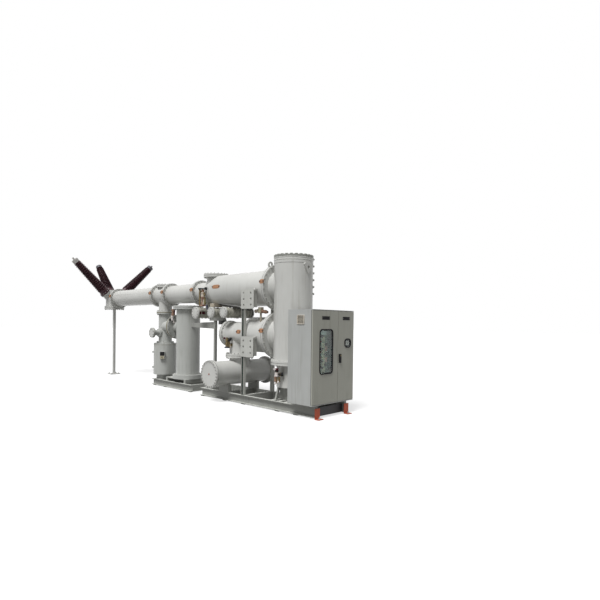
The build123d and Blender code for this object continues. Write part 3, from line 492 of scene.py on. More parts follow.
def plastic(name, colour, roughness=0.5, wear=0.0):
    """Moulded plastic or rubber: fine matt grain, slightly uneven gloss, rubbed edges."""
    material, tree, sockets = new_material(name)
    sockets["Specular IOR Level"].default_value = 0.12
    mottle = noise_mask(tree, 9.0, 0.3, 0.7)
    rims = node(tree, "Group", {"Radius": 0.002}, node_tree=edges).outputs
    deeper = [c * 0.8 for c in colour] + [1]
    shown = mixed(tree, mottle, deeper, [*colour, 1])
    shown = blended(tree, rims["Wear"], wear, shown, (0.2, 0.2, 0.2, 1))
    height = node(tree, "Group", {"Grain": 320.0}, node_tree=skin).outputs["Height"]
    normal = bumped(tree, height, rims["Normal"], 0.0003, 0.5)
    surfaced(tree, sockets, shown, mottle, roughness, roughness + 0.15, normal)
    return material


def tinted_glass(name, colour):
    """Clear pane with a body tint, faint waviness and a film of dust; shadows pass through."""
    material, tree, sockets = new_material(name)
    sockets["Transmission Weight"].default_value = 1.0
    sockets["IOR"].default_value = 1.45
    film = noise_mask(tree, 6.0, 0.35, 0.75)
    dusty = [c * 0.8 + 0.12 for c in colour] + [1]
    pane = mixed(tree, film, [*colour, 1], dusty)
    wave = noise_mask(tree, 2.5, 0.2, 0.8)
    ripple = node(tree, "Bump", {"Height": wave, "Distance": 0.0005, "Strength": 0.2})
    surfaced(tree, sockets, pane, film, 0.02, 0.10, ripple.outputs[0])
    shadow = node(tree, "LightPath").outputs["Is Shadow Ray"]
    passing = node(tree, "BsdfTransparent", {"Color": [*colour, 1]}).outputs[0]
    solid = tree.nodes["Principled BSDF"].outputs[0]
    both = node(tree, "MixShader", {0: shadow, 1: solid, 2: passing}).outputs[0]
    tree.links.new(both, tree.nodes["Material Output"].inputs["Surface"])
    return material


def box_middle(name):
    """Middle of a CAD node's box."""
    low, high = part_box(name)
    return (low + high) / 2


window_green = tinted_glass("window_green", (0.70, 0.80, 0.76))
dress(window_green, "left_window_glass", "right_window_glass")

rubber = plastic("black_rubber", (0.022, 0.022, 0.024), roughness=0.6)
window_corner = 0.055
gasket_profile = [
    (0.012, -0.003),
    (0.012, 0.008),
    (0.006, 0.013),
    (-0.008, 0.013),
    (-0.014, 0.007),
    (-0.014, -0.003),
]
front = (0, -1, 0)
for side in ("left", "right"):
    low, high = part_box(f"{side}_window_glass")
    middle = (low + high) / 2
    outline = rounded_outline(high.x - low.x, high.z - low.z, window_corner)
    ring = carried(*outline, gasket_profile, close=True)
    gasket = placed(ring, (middle.x, low.y, middle.z), front)
    leaf = f"{side}_door_leaf"
    piece(f"{side}_window_gasket", [gasket], rubber, body=leaf)

# --- door furniture ---
# A black swing handle with its lock barrel, and two bare dark designation strips that
# are riveted on near the top of the leaves.

black_plastic = plastic("black_plastic", (0.02, 0.02, 0.021), roughness=0.38, wear=0.5)
dress(black_plastic, "door_handle")
brass = metal("dull_brass", (0.21, 0.160, 0.080), (0.10, 0.075, 0.036), roughness=0.45, metallic=0.5)
handle_low, handle_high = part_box("door_handle")
handle_x = box_middle("door_handle").x
barrel_place = (handle_x, handle_low.y, handle_high.z - 0.032)
grip_place = (handle_x, handle_low.y, handle_low.z + 0.062)
barrel = lathe([(0.013, 0), (0.013, 0.004), (0.011, 0.006), (0.004, 0.006), (0.004, 0.003)], 24)
grip = plate(0.026, 0.098, 0.008, 0.010, edge=0.003)
for name, shape, place, material, slot in (
    ("handle_barrel", barrel, barrel_place, brass, "valve_brass"),
    ("handle_grip", grip, grip_place, black_plastic, "handle_plastic"),
):
    piece(name, [placed(shape, place, front)], material, body="right_door_leaf")

strip_width = 0.212
strip_height = 0.062
strip_depth = 0.003
strip_z = 1.829
strip_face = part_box("left_door")[0].y
rivet_reach = 0.095
rivet = lathe([(0.004, 0), (0.004, 0.001), (0.0025, 0.0028)], 12)
strip = plate(strip_width, strip_height, strip_depth, 0.004)
for side, strip_x in (("left", -0.236), ("right", 0.358)):
    leaf = f"{side}_door_leaf"
    shapes = [placed(strip, (strip_x, strip_face, strip_z), front)]
    piece(f"{side}_strip", shapes, rubber, body=leaf)
    rivet_y = strip_face - strip_depth
    ends = np.array([(strip_x + s * rivet_reach, rivet_y, strip_z) for s in (-1, 1)])
    piece(f"{side}_strip_rivets", [stamped(rivet, ends, front)], zinc, body=leaf)

# --- shade panel ---
# A black sheet set back between the beams darkens the space under the cabinet as painted shade.
# Its two ends meet the beams' webs.

beam_low, beam_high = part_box("skid_beams")
member_low, member_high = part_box("skid_cross_members")
panel_width = member_high.x - member_low.x + 0.030
panel_height = beam_high.z - beam_low.z - 0.010
setback = 0.075
base_place = (0, beam_low.y + setback, (beam_low.z + beam_high.z) / 2)
black_sheet = painted(
    "black_sheet",
    paint=(0.020, 0.020, 0.022),
    grime=(0.05, 0.045, 0.04),
    chip=(0.12, 0.11, 0.10),
    streaks=0.2,
    dust_and_top_light=0.3,
    roughness=0.6,
)
base_panel = placed(plate(panel_width, panel_height, 0.004, 0.002), base_place, front)
piece("base_panel", [base_panel], black_sheet)

# --- instruments ---
# Rotary switches, lamps and cream and rose mimic tiles screwed to a grey-green panel that
# stands well behind the tall window. The small window's own meter is fixed to its leaf.

panel_paint = painted(
    "panel_paint",
    paint=(0.20, 0.245, 0.205),
    grime=(0.12, 0.13, 0.10),
    chip=(0.4, 0.4, 0.38),
    streaks=0.1,
    wear=0.2,
)
dress(panel_paint, "instrument_panel")
panel_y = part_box("instrument_panel")[0].y
pane_low, pane_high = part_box("left_window_glass")
cream = plastic("cream_tile", (0.50, 0.46, 0.34), roughness=0.45)
rose = plastic("rose_tile", (0.52, 0.30, 0.25), roughness=0.45)
pale = plastic("pale_board", (0.55, 0.62, 0.62), roughness=0.4)
relay_blue = plastic("relay_blue", (0.060, 0.105, 0.105), roughness=0.35)
red_lens = plastic("red_lens", (0.45, 0.02, 0.015), roughness=0.2)
green_lens = plastic("green_lens", (0.02, 0.22, 0.07), roughness=0.2)
column_pitch = 0.108
columns = pane_low.x + 0.077 + column_pitch * np.arange(5)


def panel_points(across, heights):
    """Places on the panel's face where the given x meet heights above the pane's lower edge."""
    x, z = np.meshgrid(across, pane_low.z + np.array(heights))
    return np.stack([x.ravel(), np.full(x.size, panel_y), z.ravel()], -1)


switch_base = lathe([(0.030, 0), (0.030, 0.006), (0.026, 0.010)], 24)
switch_wing = plate(0.020, 0.056, 0.034, 0.006, edge=0.004)
middle_switches = panel_points(columns[1:2], (0.10, 0.225, 0.440, 0.675))
outer_switches = panel_points(columns[0:3:2], (0.145, 0.335, 0.520))
switch_places = np.concatenate([middle_switches, outer_switches])
tile = plate(0.076, 0.088, 0.004, 0.005)
tile_heights = (0.05, 0.165, 0.28, 0.395, 0.51, 0.625)
cream_places = panel_points(columns[:3] - column_pitch / 2, tile_heights)
rose_tile = plate(0.080, 0.096, 0.006, 0.005)
rose_places = panel_points(columns[0:3:2] + 0.022, (0.242, 0.440))
lens = lathe([(0.010, 0), (0.010, 0.006), (0.007, 0.012), (0.003, 0.015)], 20)
lamp_step = 0.016
lamp_heights = (0.29, 0.385, 0.575)
red_places = panel_points(columns[1:2] - lamp_step, lamp_heights)
green_places = panel_points(columns[1:2] + lamp_step, lamp_heights)
relay_case = plate(0.150, 0.178, 0.036, 0.008, edge=0.004)
relay_places = panel_points(columns[3:4] + 0.018, (0.16, 0.35, 0.54))
head_board = plate(0.46, 0.082, 0.006, 0.005)
head_place = np.array([(pane_low.x + 0.27, panel_y, pane_high.z - 0.052)])
for name, shape, places, material, slot in (
    ("switch_bases", switch_base, switch_places, black_plastic, "handle_plastic"),
    ("switch_wings", switch_wing, switch_places, black_plastic, "handle_plastic"),
    ("cream_tiles", tile, cream_places, cream, "louvre_plastic"),
    ("rose_tiles", rose_tile, rose_places, rose, "louvre_plastic"),
    ("head_board", head_board, head_place, pale, "louvre_plastic"),
    ("relay_cases", relay_case, relay_places, relay_blue, "handle_plastic"),
    ("red_lamps", lens, red_places, red_lens, "handle_plastic"),
    ("green_lamps", lens, green_places, green_lens, "handle_plastic"),
):
    piece(name, [stamped(shape, places, front)], material)

# the meter: a black case close behind the small pane, a pale dial, a needle and ticks
dial_white = plastic("dial_white", (0.56, 0.46, 0.45), roughness=0.4)
gauge = box_middle("right_window_glass")
meter_width = 0.150
meter_height = 0.126
meter_depth = 0.030
meter_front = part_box("right_window_glass")[1].y + 0.004
meter_back = meter_front + meter_depth
dial_y = meter_front + 0.0055
dial_border = 0.054
case = carried(
    *rounded_outline(meter_width, meter_height, 0.030),
    [(0, 0), (0, meter_depth), (-0.024, meter_depth), (-0.026, meter_depth - 0.006)],
)
dial_depth = 0.0015
dial = plate(meter_width - dial_border, meter_height - dial_border, dial_depth, 0.012)
scale_radius = 0.034
scale_drop = 0.016
tick_turn = np.linspace(-0.8, 0.8, 9)
tick_x = scale_radius * np.sin(tick_turn)
tick_y = scale_radius * np.cos(tick_turn) - scale_drop
ticks = np.stack([tick_x, tick_y, np.full(tick_turn.size, dial_depth)], -1)
tick = plate(0.0016, 0.009, 0.0006, 0.0003, edge=0.0001)
needle = placed(plate(0.026, 0.048, 0.0012, 0.004, edge=0.0002), (0.002, -0.003, dial_depth))
for name, shape, y, material in (
    ("meter_case", case, meter_back, black_plastic),
    ("meter_dial", dial, dial_y, dial_white),
    ("meter_marks", joined([stamped(tick, ticks, (0, 0, 1)), needle]), dial_y, black_plastic),
):
    shapes = [placed(shape, (gauge.x, y, gauge.z), front)]
    piece(name, shapes, material, body="right_door_leaf")

# --- louvres ---
# Beige moulded plastic vents clipped over openings high in both side walls. Each has a
# paler rim that covers the cut edge of the sheet.

louvre_beige = plastic("louvre_beige", (0.46, 0.41, 0.33), roughness=0.55)
dress(louvre_beige, "louvres")
louvre_low, louvre_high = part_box("louvres")
louvre = box_middle("louvres")
wall_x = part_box("cabinet_shell")[1].x
louvre_rim = plastic("louvre_rim", (0.66, 0.62, 0.55), roughness=0.5)
rim_outline = rounded_outline(louvre_high.y - louvre_low.y, louvre_high.z - louvre_low.z, 0.010)
rim = carried(*rim_outline, [(0.004, 0), (0.004, 0.012), (-0.010, 0.012), (-0.010, 0)], close=True)
rims = [placed(rim, (side * wall_x, louvre.y, louvre.z), (side, 0, 0)) for side in (-1, 1)]
piece("louvre_rims", rims, louvre_rim)

# --- pedestal and drive housing ---
# The pedestal is welded from plate and angle. The drive housing on it is a rolled shell
# with machined flanges; all of it has the tanks' warm light grey top coat.

dress(frame_paint, "breaker_pedestal")
tank_paint = painted(
    "tank_paint",
    paint=(0.560, 0.562, 0.540),
    grime=(0.26, 0.24, 0.19),
    chip=(0.35, 0.34, 0.31),
    tone=0.05,
    streaks=0.32,
    dust_and_top_light=0.15,
    wear=0.30,
    roughness=0.32,
)
dress(tank_paint, "drive_housing")
bolt_steel = metal("bolt_steel", (0.42, 0.42, 0.40), (0.22, 0.22, 0.21), roughness=0.45, metallic=0.6)
seal_rubber = plastic("seal_rubber", (0.05, 0.048, 0.04), roughness=0.7)
up = (0, 0, 1)
down = (0, 0, -1)
back = (0, 1, 0)
left = (-1, 0, 0)
right = (1, 0, 0)


def circle_points(centre, direction, radius, count, start=0.5):
    """Points evenly spaced on a circle about the centre, in the plane across the direction."""
    turn = (np.arange(count) + start) * 2 * np.pi / count
    flat = np.stack([radius * np.cos(turn), radius * np.sin(turn), np.zeros(count)], -1)
    return flat @ aim(direction) + np.array(centre, float)


def ringed(shape, centre, direction, radius, count):
    """Copies of a shape on a circle, all of them facing along its axis."""
    return stamped(shape, circle_points(centre, direction, radius, count), direction)


def bolted_joint(centre, direction, radius, count, size, half_depth):
    """Bolt heads on one face of a flange pair and studs on the other, all the way round."""
    way = np.array(direction, float)
    heads = circle_points(np.array(centre) + way * half_depth, way, radius, count)
    tails = circle_points(np.array(centre) - way * half_depth, way, radius, count)
    return [stamped(bolt(size), heads, way), stamped(stud(size), tails, -way)]


def seal(centre, direction, radius, width=0.005, proud=0.0015):
    """Edge of the sealing joint that shows between two flanges, as a thin dark ring."""
    outer = radius + proud
    inner = radius - proud
    ring = [(outer, -width / 2), (outer, width / 2), (inner, width / 2), (inner, -width / 2)]
    return placed(lathe(ring, 72, close=True), centre, direction)


flange = 0.045
drive_low, drive_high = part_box("drive_housing")
drive_radius = drive_high.x
drive_split = (0, 0, drive_high.z)
drive_bolts = bolted_joint(drive_split, up, drive_radius - 0.025, 28, 0.013, flange)
piece("drive_bolts", drive_bolts, tank_paint)
piece("drive_seal", [seal(drive_split, up, drive_radius)], seal_rubber)

# --- breaker tank ---
# Rolled and welded tank, sprayed light grey. A blind cover is bolted to its top rim,
# lifting lugs stand at the front and the back, and weld beads run round the nozzles.

dress(tank_paint, "breaker_tank", "breaker_cover")
cover_low, cover_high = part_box("breaker_cover")
cover_radius = (cover_high.x - cover_low.x) / 2
# a clamping ring of olive-grey steel lies on the rim, with low wide bolt heads on it
clamp_paint = painted(
    "clamp_paint",
    paint=(0.235, 0.240, 0.220),
    grime=(0.12, 0.11, 0.09),
    chip=(0.35, 0.35, 0.33),
    wear=0.4,
)
clamp_height = 0.036
clamp_rim = cover_radius + 0.003
clamp_inside = cover_radius - 0.060
clamp_chamfer = 0.004
clamp_profile = [
    (clamp_inside, clamp_height),
    (clamp_rim - clamp_chamfer, clamp_height),
    (clamp_rim, clamp_height - clamp_chamfer),
    (clamp_rim, 0),
    (clamp_inside, 0),
]
clamp_top = cover_high.z + 0.004
clamp_foot = clamp_top - clamp_height
clamp = placed(lathe(clamp_profile, 96, close=True), (0, 0, clamp_foot))
low_head = lathe([(0.036, -0.002), (0.036, 0.010), (0.030, 0.016), (0.020, 0.019)], 12)
cover_bolts = ringed(low_head, (0, 0, clamp_top), up, cover_radius - 0.030, 24)
piece("cover_clamp", [clamp, cover_bolts], clamp_paint)
lip_steps = [(0, -0.010), (0.004, -0.006), (0.004, 0.006), (0, 0.010)]
lip = lathe([(cover_radius + out, rise) for out, rise in lip_steps], 96, close=True)
lips = [placed(lip, (0, 0, z)) for z in (clamp_foot - 0.014, cover_low.z)]
piece("cover_lips", lips, tank_paint)

# one row of nuts runs down the wall at the front right
row_turn = radians(-45)
row_way = np.array([np.cos(row_turn), np.sin(row_turn), 0])
row_heights = cover_low.z + 0.04 - 0.139 * np.arange(6)
row_places = (cover_radius - 0.006) * row_way + row_heights[:, None] * up
piece("wall_nuts", [stamped(bolt(0.022), row_places, row_way)], bolt_steel)


def bead(path, centre, radius=0.006, steps=6):
    """Weld bead: a small circle carried round a closed path.

    At each point the circle lies across the path. Its first axis points away from the
    path's centre, square to the path, and its second is square to both.
    """
    along = np.roll(path, -1, axis=0) - np.roll(path, 1, axis=0)
    along /= np.linalg.norm(along, axis=1)[:, None]
    out = path - np.array(centre)
    out -= np.sum(out * along, axis=1)[:, None] * along
    out /= np.linalg.norm(out, axis=1)[:, None]
    side = np.cross(along, out)
    turn = np.linspace(0, 2 * np.pi, steps, endpoint=False)[None, :, None]
    rim = np.cos(turn) * out[:, None] + np.sin(turn) * side[:, None]
    points, (quads,) = lofted(path[:, None] + radius * rim, close=True)
    return points, [quads[:, [0, 3, 2, 1]]]


def saddle_path(centre, direction, branch, main, main_axis, count=96):
    """Where a branch pipe meets a bigger one: a circle across the branch, each point of it
    pushed along the branch to the bigger pipe's wall."""
    way = np.array(direction, float)
    ring = circle_points((0, 0, 0), way, branch, count, start=0)
    offset = ring @ np.cross(way, np.array(main_axis, float))
    reach = np.sqrt(main**2 - offset**2)
    return ring + reach[:, None] * way + np.array(centre, float)


middle_low, middle_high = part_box("middle_tank")
middle_z = box_middle("middle_tank").z
upper_z = box_middle("line_tubes").z
nozzle_radius = 0.345
breaker_radius = 0.392
weld_middle = 0.4
beads = []
for z in (middle_z, upper_z):
    path = saddle_path((0, 0, z), back, nozzle_radius, breaker_radius, up)
    beads.append(bead(path, (0, weld_middle, z), 0.008))
piece("nozzle_welds", beads, tank_paint)

# --- upper run ---
# Rolled tank, welded tee with a rounded shoulder, and flanged line tubes. Bolts go right
# round every flange pair, and the sealing joint shows as a thin dark line between them.


def flanged(joints):
    """Bolts and seals of flange joints. Each joint has a centre, the way it faces, its radius,
    how far inside that the bolts stand, their count and size, and one flange's depth."""
    bolts = []
    seals = []
    for centre, way, radius, inset, count, size, deep in joints:
        bolts += bolted_joint(centre, way, radius - inset, count, size, deep)
        seals.append(seal(centre, way, radius))
    return bolts, seals


dress(tank_paint, "upper_tank", "line_tee", "line_tubes", "vt_tee", "blind_covers")
nozzle_flange = (middle_high.x - middle_low.x) / 2
nozzle_plane = middle_low.y
tube_low, tube_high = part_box("line_tubes")
line_flange = (tube_high.x - tube_low.x) / 2
vt_low, vt_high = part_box("vt_tee")
vt_place = box_middle("vt_tee").y
line_planes = (tube_low.y, vt_low.y, vt_high.y, tube_high.y)
painted_bolt = painted(
    "painted_bolt",
    paint=(0.400, 0.400, 0.375),
    grime=(0.20, 0.17, 0.13),
    chip=(0.28, 0.25, 0.21),
    wear=0.5,
)
nozzle_ring = nozzle_flange - 0.028
nozzle_count = 28
# nearer the middle than this, the tank's wall leaves no room for a bolt head
head_room = 0.16
nozzle_bolts = []
nozzle_seals = []
for z in (middle_z, upper_z):
    rear_face = (0, nozzle_plane + flange, z)
    nozzle_bolts.append(ringed(stud(0.015), rear_face, back, nozzle_ring, nozzle_count))
    heads = circle_points((0, nozzle_plane - flange, z), back, nozzle_ring, nozzle_count)
    heads = heads[np.abs(heads[:, 0]) > head_room]
    nozzle_bolts.append(stamped(bolt(0.015), heads, front))
    nozzle_seals.append(seal((0, nozzle_plane, z), back, nozzle_flange))
tee_place = 2.635
tee_cover = 0.298
tee_top = 2.890
vt_flange = 0.236
vt_neck_rise = 0.253
lid_thickness = 0.040
joints = [((0, y, upper_z), back, line_flange, 0.026, 20, 0.013, flange) for y in line_planes]
for y, z, radius, count in (
    (tee_place, tee_top - lid_thickness, tee_cover, 20),
    (vt_place, upper_z + vt_neck_rise, vt_flange, 16),
):
    joints.append(((0, y, z), up, radius, 0.024, count, 0.012, lid_thickness))
run_bolts, run_seals = flanged(joints)
piece("nozzle_bolts", nozzle_bolts, painted_bolt)
piece("upper_run_bolts", run_bolts, bolt_steel)
piece("upper_run_seals", nozzle_seals + run_seals, seal_rubber)

# --- middle run and disconnector ---
# The lower tank, the disconnector bolted to it and the branch that drops to the busbar.
# The disconnector sits inside the bigger tank's end ring, so its bolts show as a circle.

dress(tank_paint, "middle_tank", "disconnector_tank")
split_low, split_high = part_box("disconnector_tank")
split_y = middle_high.y
end_radius = split_high.x
branch_place = 1.700
branch_flange = 0.320
disconnector_radius = 0.270
disconnector_flange = 0.300
end_centre = (0, split_y + flange, middle_z)
end_ring = ringed(stud(0.015), end_centre, back, end_radius - 0.045, 20)
run_bolts, run_seals = flanged(
    [
        ((0, split_high.y, middle_z), back, disconnector_flange, 0.015, 20, 0.012, 0.040),
        ((0, branch_place, split_low.z), up, branch_flange, 0.028, 20, 0.014, flange),
    ]
)
end_seal = seal((0, split_y, middle_z), back, end_radius)
piece("middle_run_bolts", [end_ring, *run_bolts], bolt_steel)
piece("middle_run_seals", [end_seal, *run_seals], seal_rubber)
branch_top = (0, branch_place, middle_z)
branch_radius = 0.235
weld_drop = 0.2
path = saddle_path(branch_top, down, branch_radius, disconnector_radius, back)
branch_bead = bead(path, (0, branch_place, middle_z - weld_drop), 0.007)
piece("branch_welds", [branch_bead], tank_paint)

# --- busbar tank ---
# Three conductors cross the bay in one tank on two saddles. The near end is shut by a
# bolted blind cover with a plug in its middle; the far flange waits for the next bay.

dress(tank_paint, "bus_tank", "bus_end_cover")
dress(frame_paint, "bus_saddles")
bus_z = mounts["bus_flange_bolts"]["pos_m"][2]
bus_flange = 0.300
cover_middle = (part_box("bus_end_cover")[0].x, branch_place, bus_z)
bus_split = (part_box("bus_tank")[0].x, branch_place, bus_z)
cover_ring = ringed(stud(0.013), cover_middle, left, bus_flange - 0.026, 24)
plug = placed(lathe([(0.019, 0), (0.019, 0.006), (0.014, 0.010)], 24), cover_middle, left)
red_cap = plastic("red_cap", (0.36, 0.15, 0.12), roughness=0.45)
piece("bus_cover_bolts", [cover_ring], bolt_steel)
piece("bus_cover_seal", [seal(bus_split, left, bus_flange)], seal_rubber)
piece("bus_cover_plug", [plug], red_cap)

# --- posts and bracket plates ---
# Two channel posts carry both runs on thick plates, each with six round holes and a
# return that is welded to the tank.

bracket_paint = painted(
    "bracket_paint",
    paint=(0.50, 0.505, 0.475),
    grime=(0.22, 0.20, 0.16),
    chip=(0.30, 0.26, 0.22),
    tone=0.08,
    streaks=0.45,
)
dress(bracket_paint, "posts", "bracket_plates")
plates_low, plates_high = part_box("bracket_plates")
post_low, post_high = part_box("posts")

# a dark strip lies in the open side of each post, its straight face flush with the lips: painted shade for
# the channel's shaded recess
post_shade_paint = plastic("cable_duct", (0.030, 0.040, 0.034), roughness=0.55)
post_place = 1.050
post_z = box_middle("posts").z
shade_strip = plate(0.056, post_high.z - post_low.z - 0.03, 0.046, 0.004)
shade_strip_x = post_high.x - 0.057
for name, way in (("left", left), ("right", right)):
    shapes = [placed(shade_strip, (way[0] * shade_strip_x, post_place, post_z), way)]
    piece(f"{name}_cable_duct", shapes, post_shade_paint)

# a pale cleat holds the front top corner of each plate's return; its pale colour is a painted highlight
cleat = plate(0.060, 0.045, 0.030, 0.006, edge=0.003)
cleat_x = plates_high.x - 0.050
cleat_y = plates_low.y + 0.015
plate_step = 0.990
cleat_tops = plates_high.z - 0.012 - np.array([0, plate_step])
cleat_places = [(x, cleat_y, z) for x in (-cleat_x, cleat_x) for z in cleat_tops]
cleats = stamped(cleat, np.array(cleat_places), front)
pale_zinc = metal("pale_zinc", (0.72, 0.72, 0.69), (0.50, 0.50, 0.48), roughness=0.5, metallic=0.2)
piece("plate_cleats", [cleats], pale_zinc)

# --- operating mechanisms ---
# Three cast housings across the bay, hung under the upper run. Pale bolted discs close
# their ends; the bodies between are olive grey, with a red position mark on the rear one.

mechanism_paint = painted(
    "mechanism_paint",
    paint=(0.360, 0.355, 0.305),
    grime=(0.15, 0.13, 0.10),
    chip=(0.33, 0.31, 0.27),
    tone=0.12,
    streaks=0.5,
)
dress(mechanism_paint, "mechanisms")
dress(frame_paint, "mechanism_stand")
box_low, box_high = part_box("mechanisms")
mechanism_places = (1.810, 2.290, 2.920)
mechanism_radii = (0.126, 0.126, 0.144)
mechanism_z = box_low.z + mechanism_radii[-1]
disc_depth = 0.030
disc_proud = 0.002
boss_rise = 0.006
body_share = 0.85
rib_x = np.linspace(-0.30, 0.30, 7)
discs = []
disc_bolts = []
ribs = []
for y, radius in zip(mechanism_places, mechanism_radii):
    disc_rim = radius + disc_proud
    disc_profile = [
        (disc_rim, -disc_depth),
        (disc_rim, 0.002),
        (disc_rim - 0.008, boss_rise),
        (radius * 0.62, boss_rise),
        (radius * 0.58, 2 * boss_rise),
    ]
    disc = lathe(disc_profile, 56)
    for x, way in ((box_low.x, left), (box_high.x, right)):
        discs.append(placed(disc, (x, y, mechanism_z), way))
        face = (x + boss_rise * way[0], y, mechanism_z)
        disc_bolts.append(ringed(bolt(0.010), face, way, radius - 0.022, 10))
    root = radius * body_share - 0.004
    crest = radius * body_share + 0.014
    rib = lathe([(root, -0.008), (crest, -0.005), (crest, 0.005), (root, 0.008)], 48)
    ribs.append(stamped(rib, np.array([(x, y, mechanism_z) for x in rib_x]), right))
piece("mechanism_discs", discs, tank_paint)
piece("mechanism_bolts", disc_bolts, bolt_steel)
piece("mechanism_ribs", ribs, mechanism_paint)

# a red position mark, and a dark lever box under the middle body with its drive rods
mark_red = plastic("mark_red", (0.080, 0.012, 0.020), roughness=0.5)
dark_steel = metal("dark_steel", (0.060, 0.060, 0.058), (0.03, 0.03, 0.03), roughness=0.55, metallic=0.5)
body_half = mechanism_radii[0] * body_share
mark_place = (-0.27, mechanism_places[2] - body_half - 0.008, mechanism_z)
mark = placed(plate(0.170, 0.066, 0.010, 0.006), mark_place, front)
piece("position_mark", [mark], mark_red)
rail_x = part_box("mechanism_stand")[0].x
front_place, lever_place, _ = mechanism_places


def rod(start, end, radius):
    """Round bar from one point to another, its ends a little rounded."""
    way = np.array(end, float) - np.array(start, float)
    length = np.linalg.norm(way)
    soft = radius * 0.3
    profile = [(radius - soft, 0), (radius, soft), (radius, length - soft), (radius - soft, length)]
    return placed(lathe(profile, 12), start, way)


rod_x = -0.200
lever_end = post_place + 0.040
lever_z = mechanism_z + 0.046
shaft_foot = mechanism_z + 0.10
lever_from = (rod_x, lever_place, mechanism_z + 0.196)
lever_to = (rod_x, lever_end, lever_z)
lever_link = (0.020 - post_high.x, lever_end, lever_z)
lever_box_place = (rail_x - 0.020, lever_place - 0.13, mechanism_z - body_half - 0.075)
drive_rods = [
    rod(lever_from, lever_to, 0.013),
    rod(lever_to, lever_link, 0.013),
    rod((rod_x, front_place, shaft_foot), (rod_x, front_place, shaft_foot + 0.050), 0.020),
    placed(plate(0.18, 0.10, 0.09, 0.012), lever_box_place, down),
]
piece("drive_rods", drive_rods, dark_steel)
pipe_x = -0.235
pipe_from = (pipe_x, lever_place, mechanism_z + 0.225)
gas_pipe = rod(pipe_from, (pipe_x, post_place, mechanism_z + 0.090), 0.009)
piece("gas_pipe", [gas_pipe], zinc)
tan_place = (-0.22, lever_place + 0.09, mechanism_z + 0.170)
tan_cover = placed(plate(0.26, 0.085, 0.16, 0.006), tan_place, front)
piece("tan_cover", [tan_cover], louvre_beige)

# --- line skid, arrester and its base ---
# A second welded frame carries the arrester and the transformer. The arrester is an
# upright tank on a deep bolted foot ring, with a blind cover on top.

dress(frame_paint, "line_skid", "arrester_base")
line_tank_paint = painted(
    "line_tank_paint",
    paint=(0.440, 0.450, 0.430),
    grime=(0.20, 0.195, 0.155),
    chip=(0.30, 0.29, 0.26),
    tone=0.06,
    streaks=0.40,
    dust_and_top_light=0.20,
    wear=0.30,
    roughness=0.38,
)
dress(line_tank_paint, "arrester_tank", "arrester_cover")
arrester_low, arrester_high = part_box("arrester_cover")
arrester_place = box_middle("arrester_cover").y
arrester_flange = (arrester_high.x - arrester_low.x) / 2
arrester_ring = arrester_flange - 0.035
foot_ring_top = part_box("arrester_tank")[0].z + 0.105
socket_profile = [(0.016, -0.002), (0.016, 0.004), (0.013, 0.006), (0.007, 0.006), (0.006, 0.002)]
socket_head = lathe(socket_profile, 16)
under = (0, arrester_place, arrester_low.z - flange)
heads = [
    circle_points((0, arrester_place, z), up, arrester_ring, count)
    for z, count in ((arrester_high.z, 24), (foot_ring_top, 20))
]
tails = circle_points(under, up, arrester_ring, 24)
arrester_bolts = [
    stamped(socket_head, np.concatenate(heads), up),
    stamped(stud(0.013), tails, down),
]
arrester_seal = seal((0, arrester_place, arrester_low.z), up, arrester_flange)
piece("arrester_bolts", arrester_bolts, line_tank_paint)
piece("arrester_seal", [arrester_seal], seal_rubber)

# --- voltage transformer ---
# An upright tank on a skirt, a cross piece above it and a short link to the arrester.
# Olive sealing joints show between the ring flanges.

dress(line_tank_paint, "vt_cross_piece", "vt_tank", "vt_tank_lid")
lid_low, lid_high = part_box("vt_tank_lid")
lid_radius = (lid_high.x - lid_low.x) / 2
link_z = 1.600
link_split = (0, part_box("vt_cross_piece")[0].y, link_z)
link_flange = 0.320
vt_split = (0, vt_place, vt_low.z)
port_z = 1.430
port_radius = 0.134
port_face = (-0.42, vt_place, port_z)
port_split = (-0.39, vt_place, port_z)
olive_seal = plastic("olive_seal", (0.20, 0.17, 0.08), roughness=0.6)
run_bolts = [
    *bolted_joint(vt_split, up, vt_flange - 0.024, 16, 0.012, flange),
    *bolted_joint(link_split, back, link_flange - 0.028, 20, 0.014, flange),
    ringed(socket_head, (0, vt_place, lid_high.z), up, lid_radius - 0.022, 24),
    ringed(bolt(0.012), (0, vt_place, lid_high.z + flange), up, vt_flange - 0.024, 12),
    ringed(stud(0.010), port_face, left, port_radius - 0.022, 8),
]
run_seals = [
    seal(vt_split, up, vt_flange, width=0.014),
    seal(link_split, back, link_flange, width=0.030, proud=0.003),
    seal((0, vt_place, lid_low.z), up, lid_radius),
    seal(port_split, left, port_radius),
]
piece("transformer_bolts", run_bolts, bolt_steel)
piece("transformer_seals", run_seals, olive_seal)

# terminal box on the tank's wall: a black hood over a pale lid with a knob
box_turn = radians(228)
box_way = np.array([np.cos(box_turn), np.sin(box_turn), 0])
box_z = 0.820
box_reach = 0.367
box_face = np.array([0, vt_place, box_z]) + box_reach * box_way
hood_lift = 0.046
knob_drop = 0.050
lid_drop = 0.052
lid_depth = 0.008
hood = plate(0.112, 0.100, 0.014, 0.008, edge=0.004)
pale_lid = plate(0.112, 0.082, lid_depth, 0.008, edge=0.003)
knob = lathe([(0.012, 0), (0.012, 0.010), (0.008, 0.014)], 16)
hood_parts = [
    placed(hood, box_face + (0, 0, hood_lift), box_way),
    placed(knob, box_face - (0, 0, knob_drop) + lid_depth * box_way, box_way),
]
piece("terminal_hood", hood_parts, black_plastic)
lid_place = box_face - (0, 0, lid_drop)
piece("terminal_lid", [placed(pale_lid, lid_place, box_way)], cream)

# --- outlet and leg ---
# A cast outlet housing with three raked turrets stands on a single square tube leg. Bolts
# go round its lower cover and round the foot flange of each bushing.

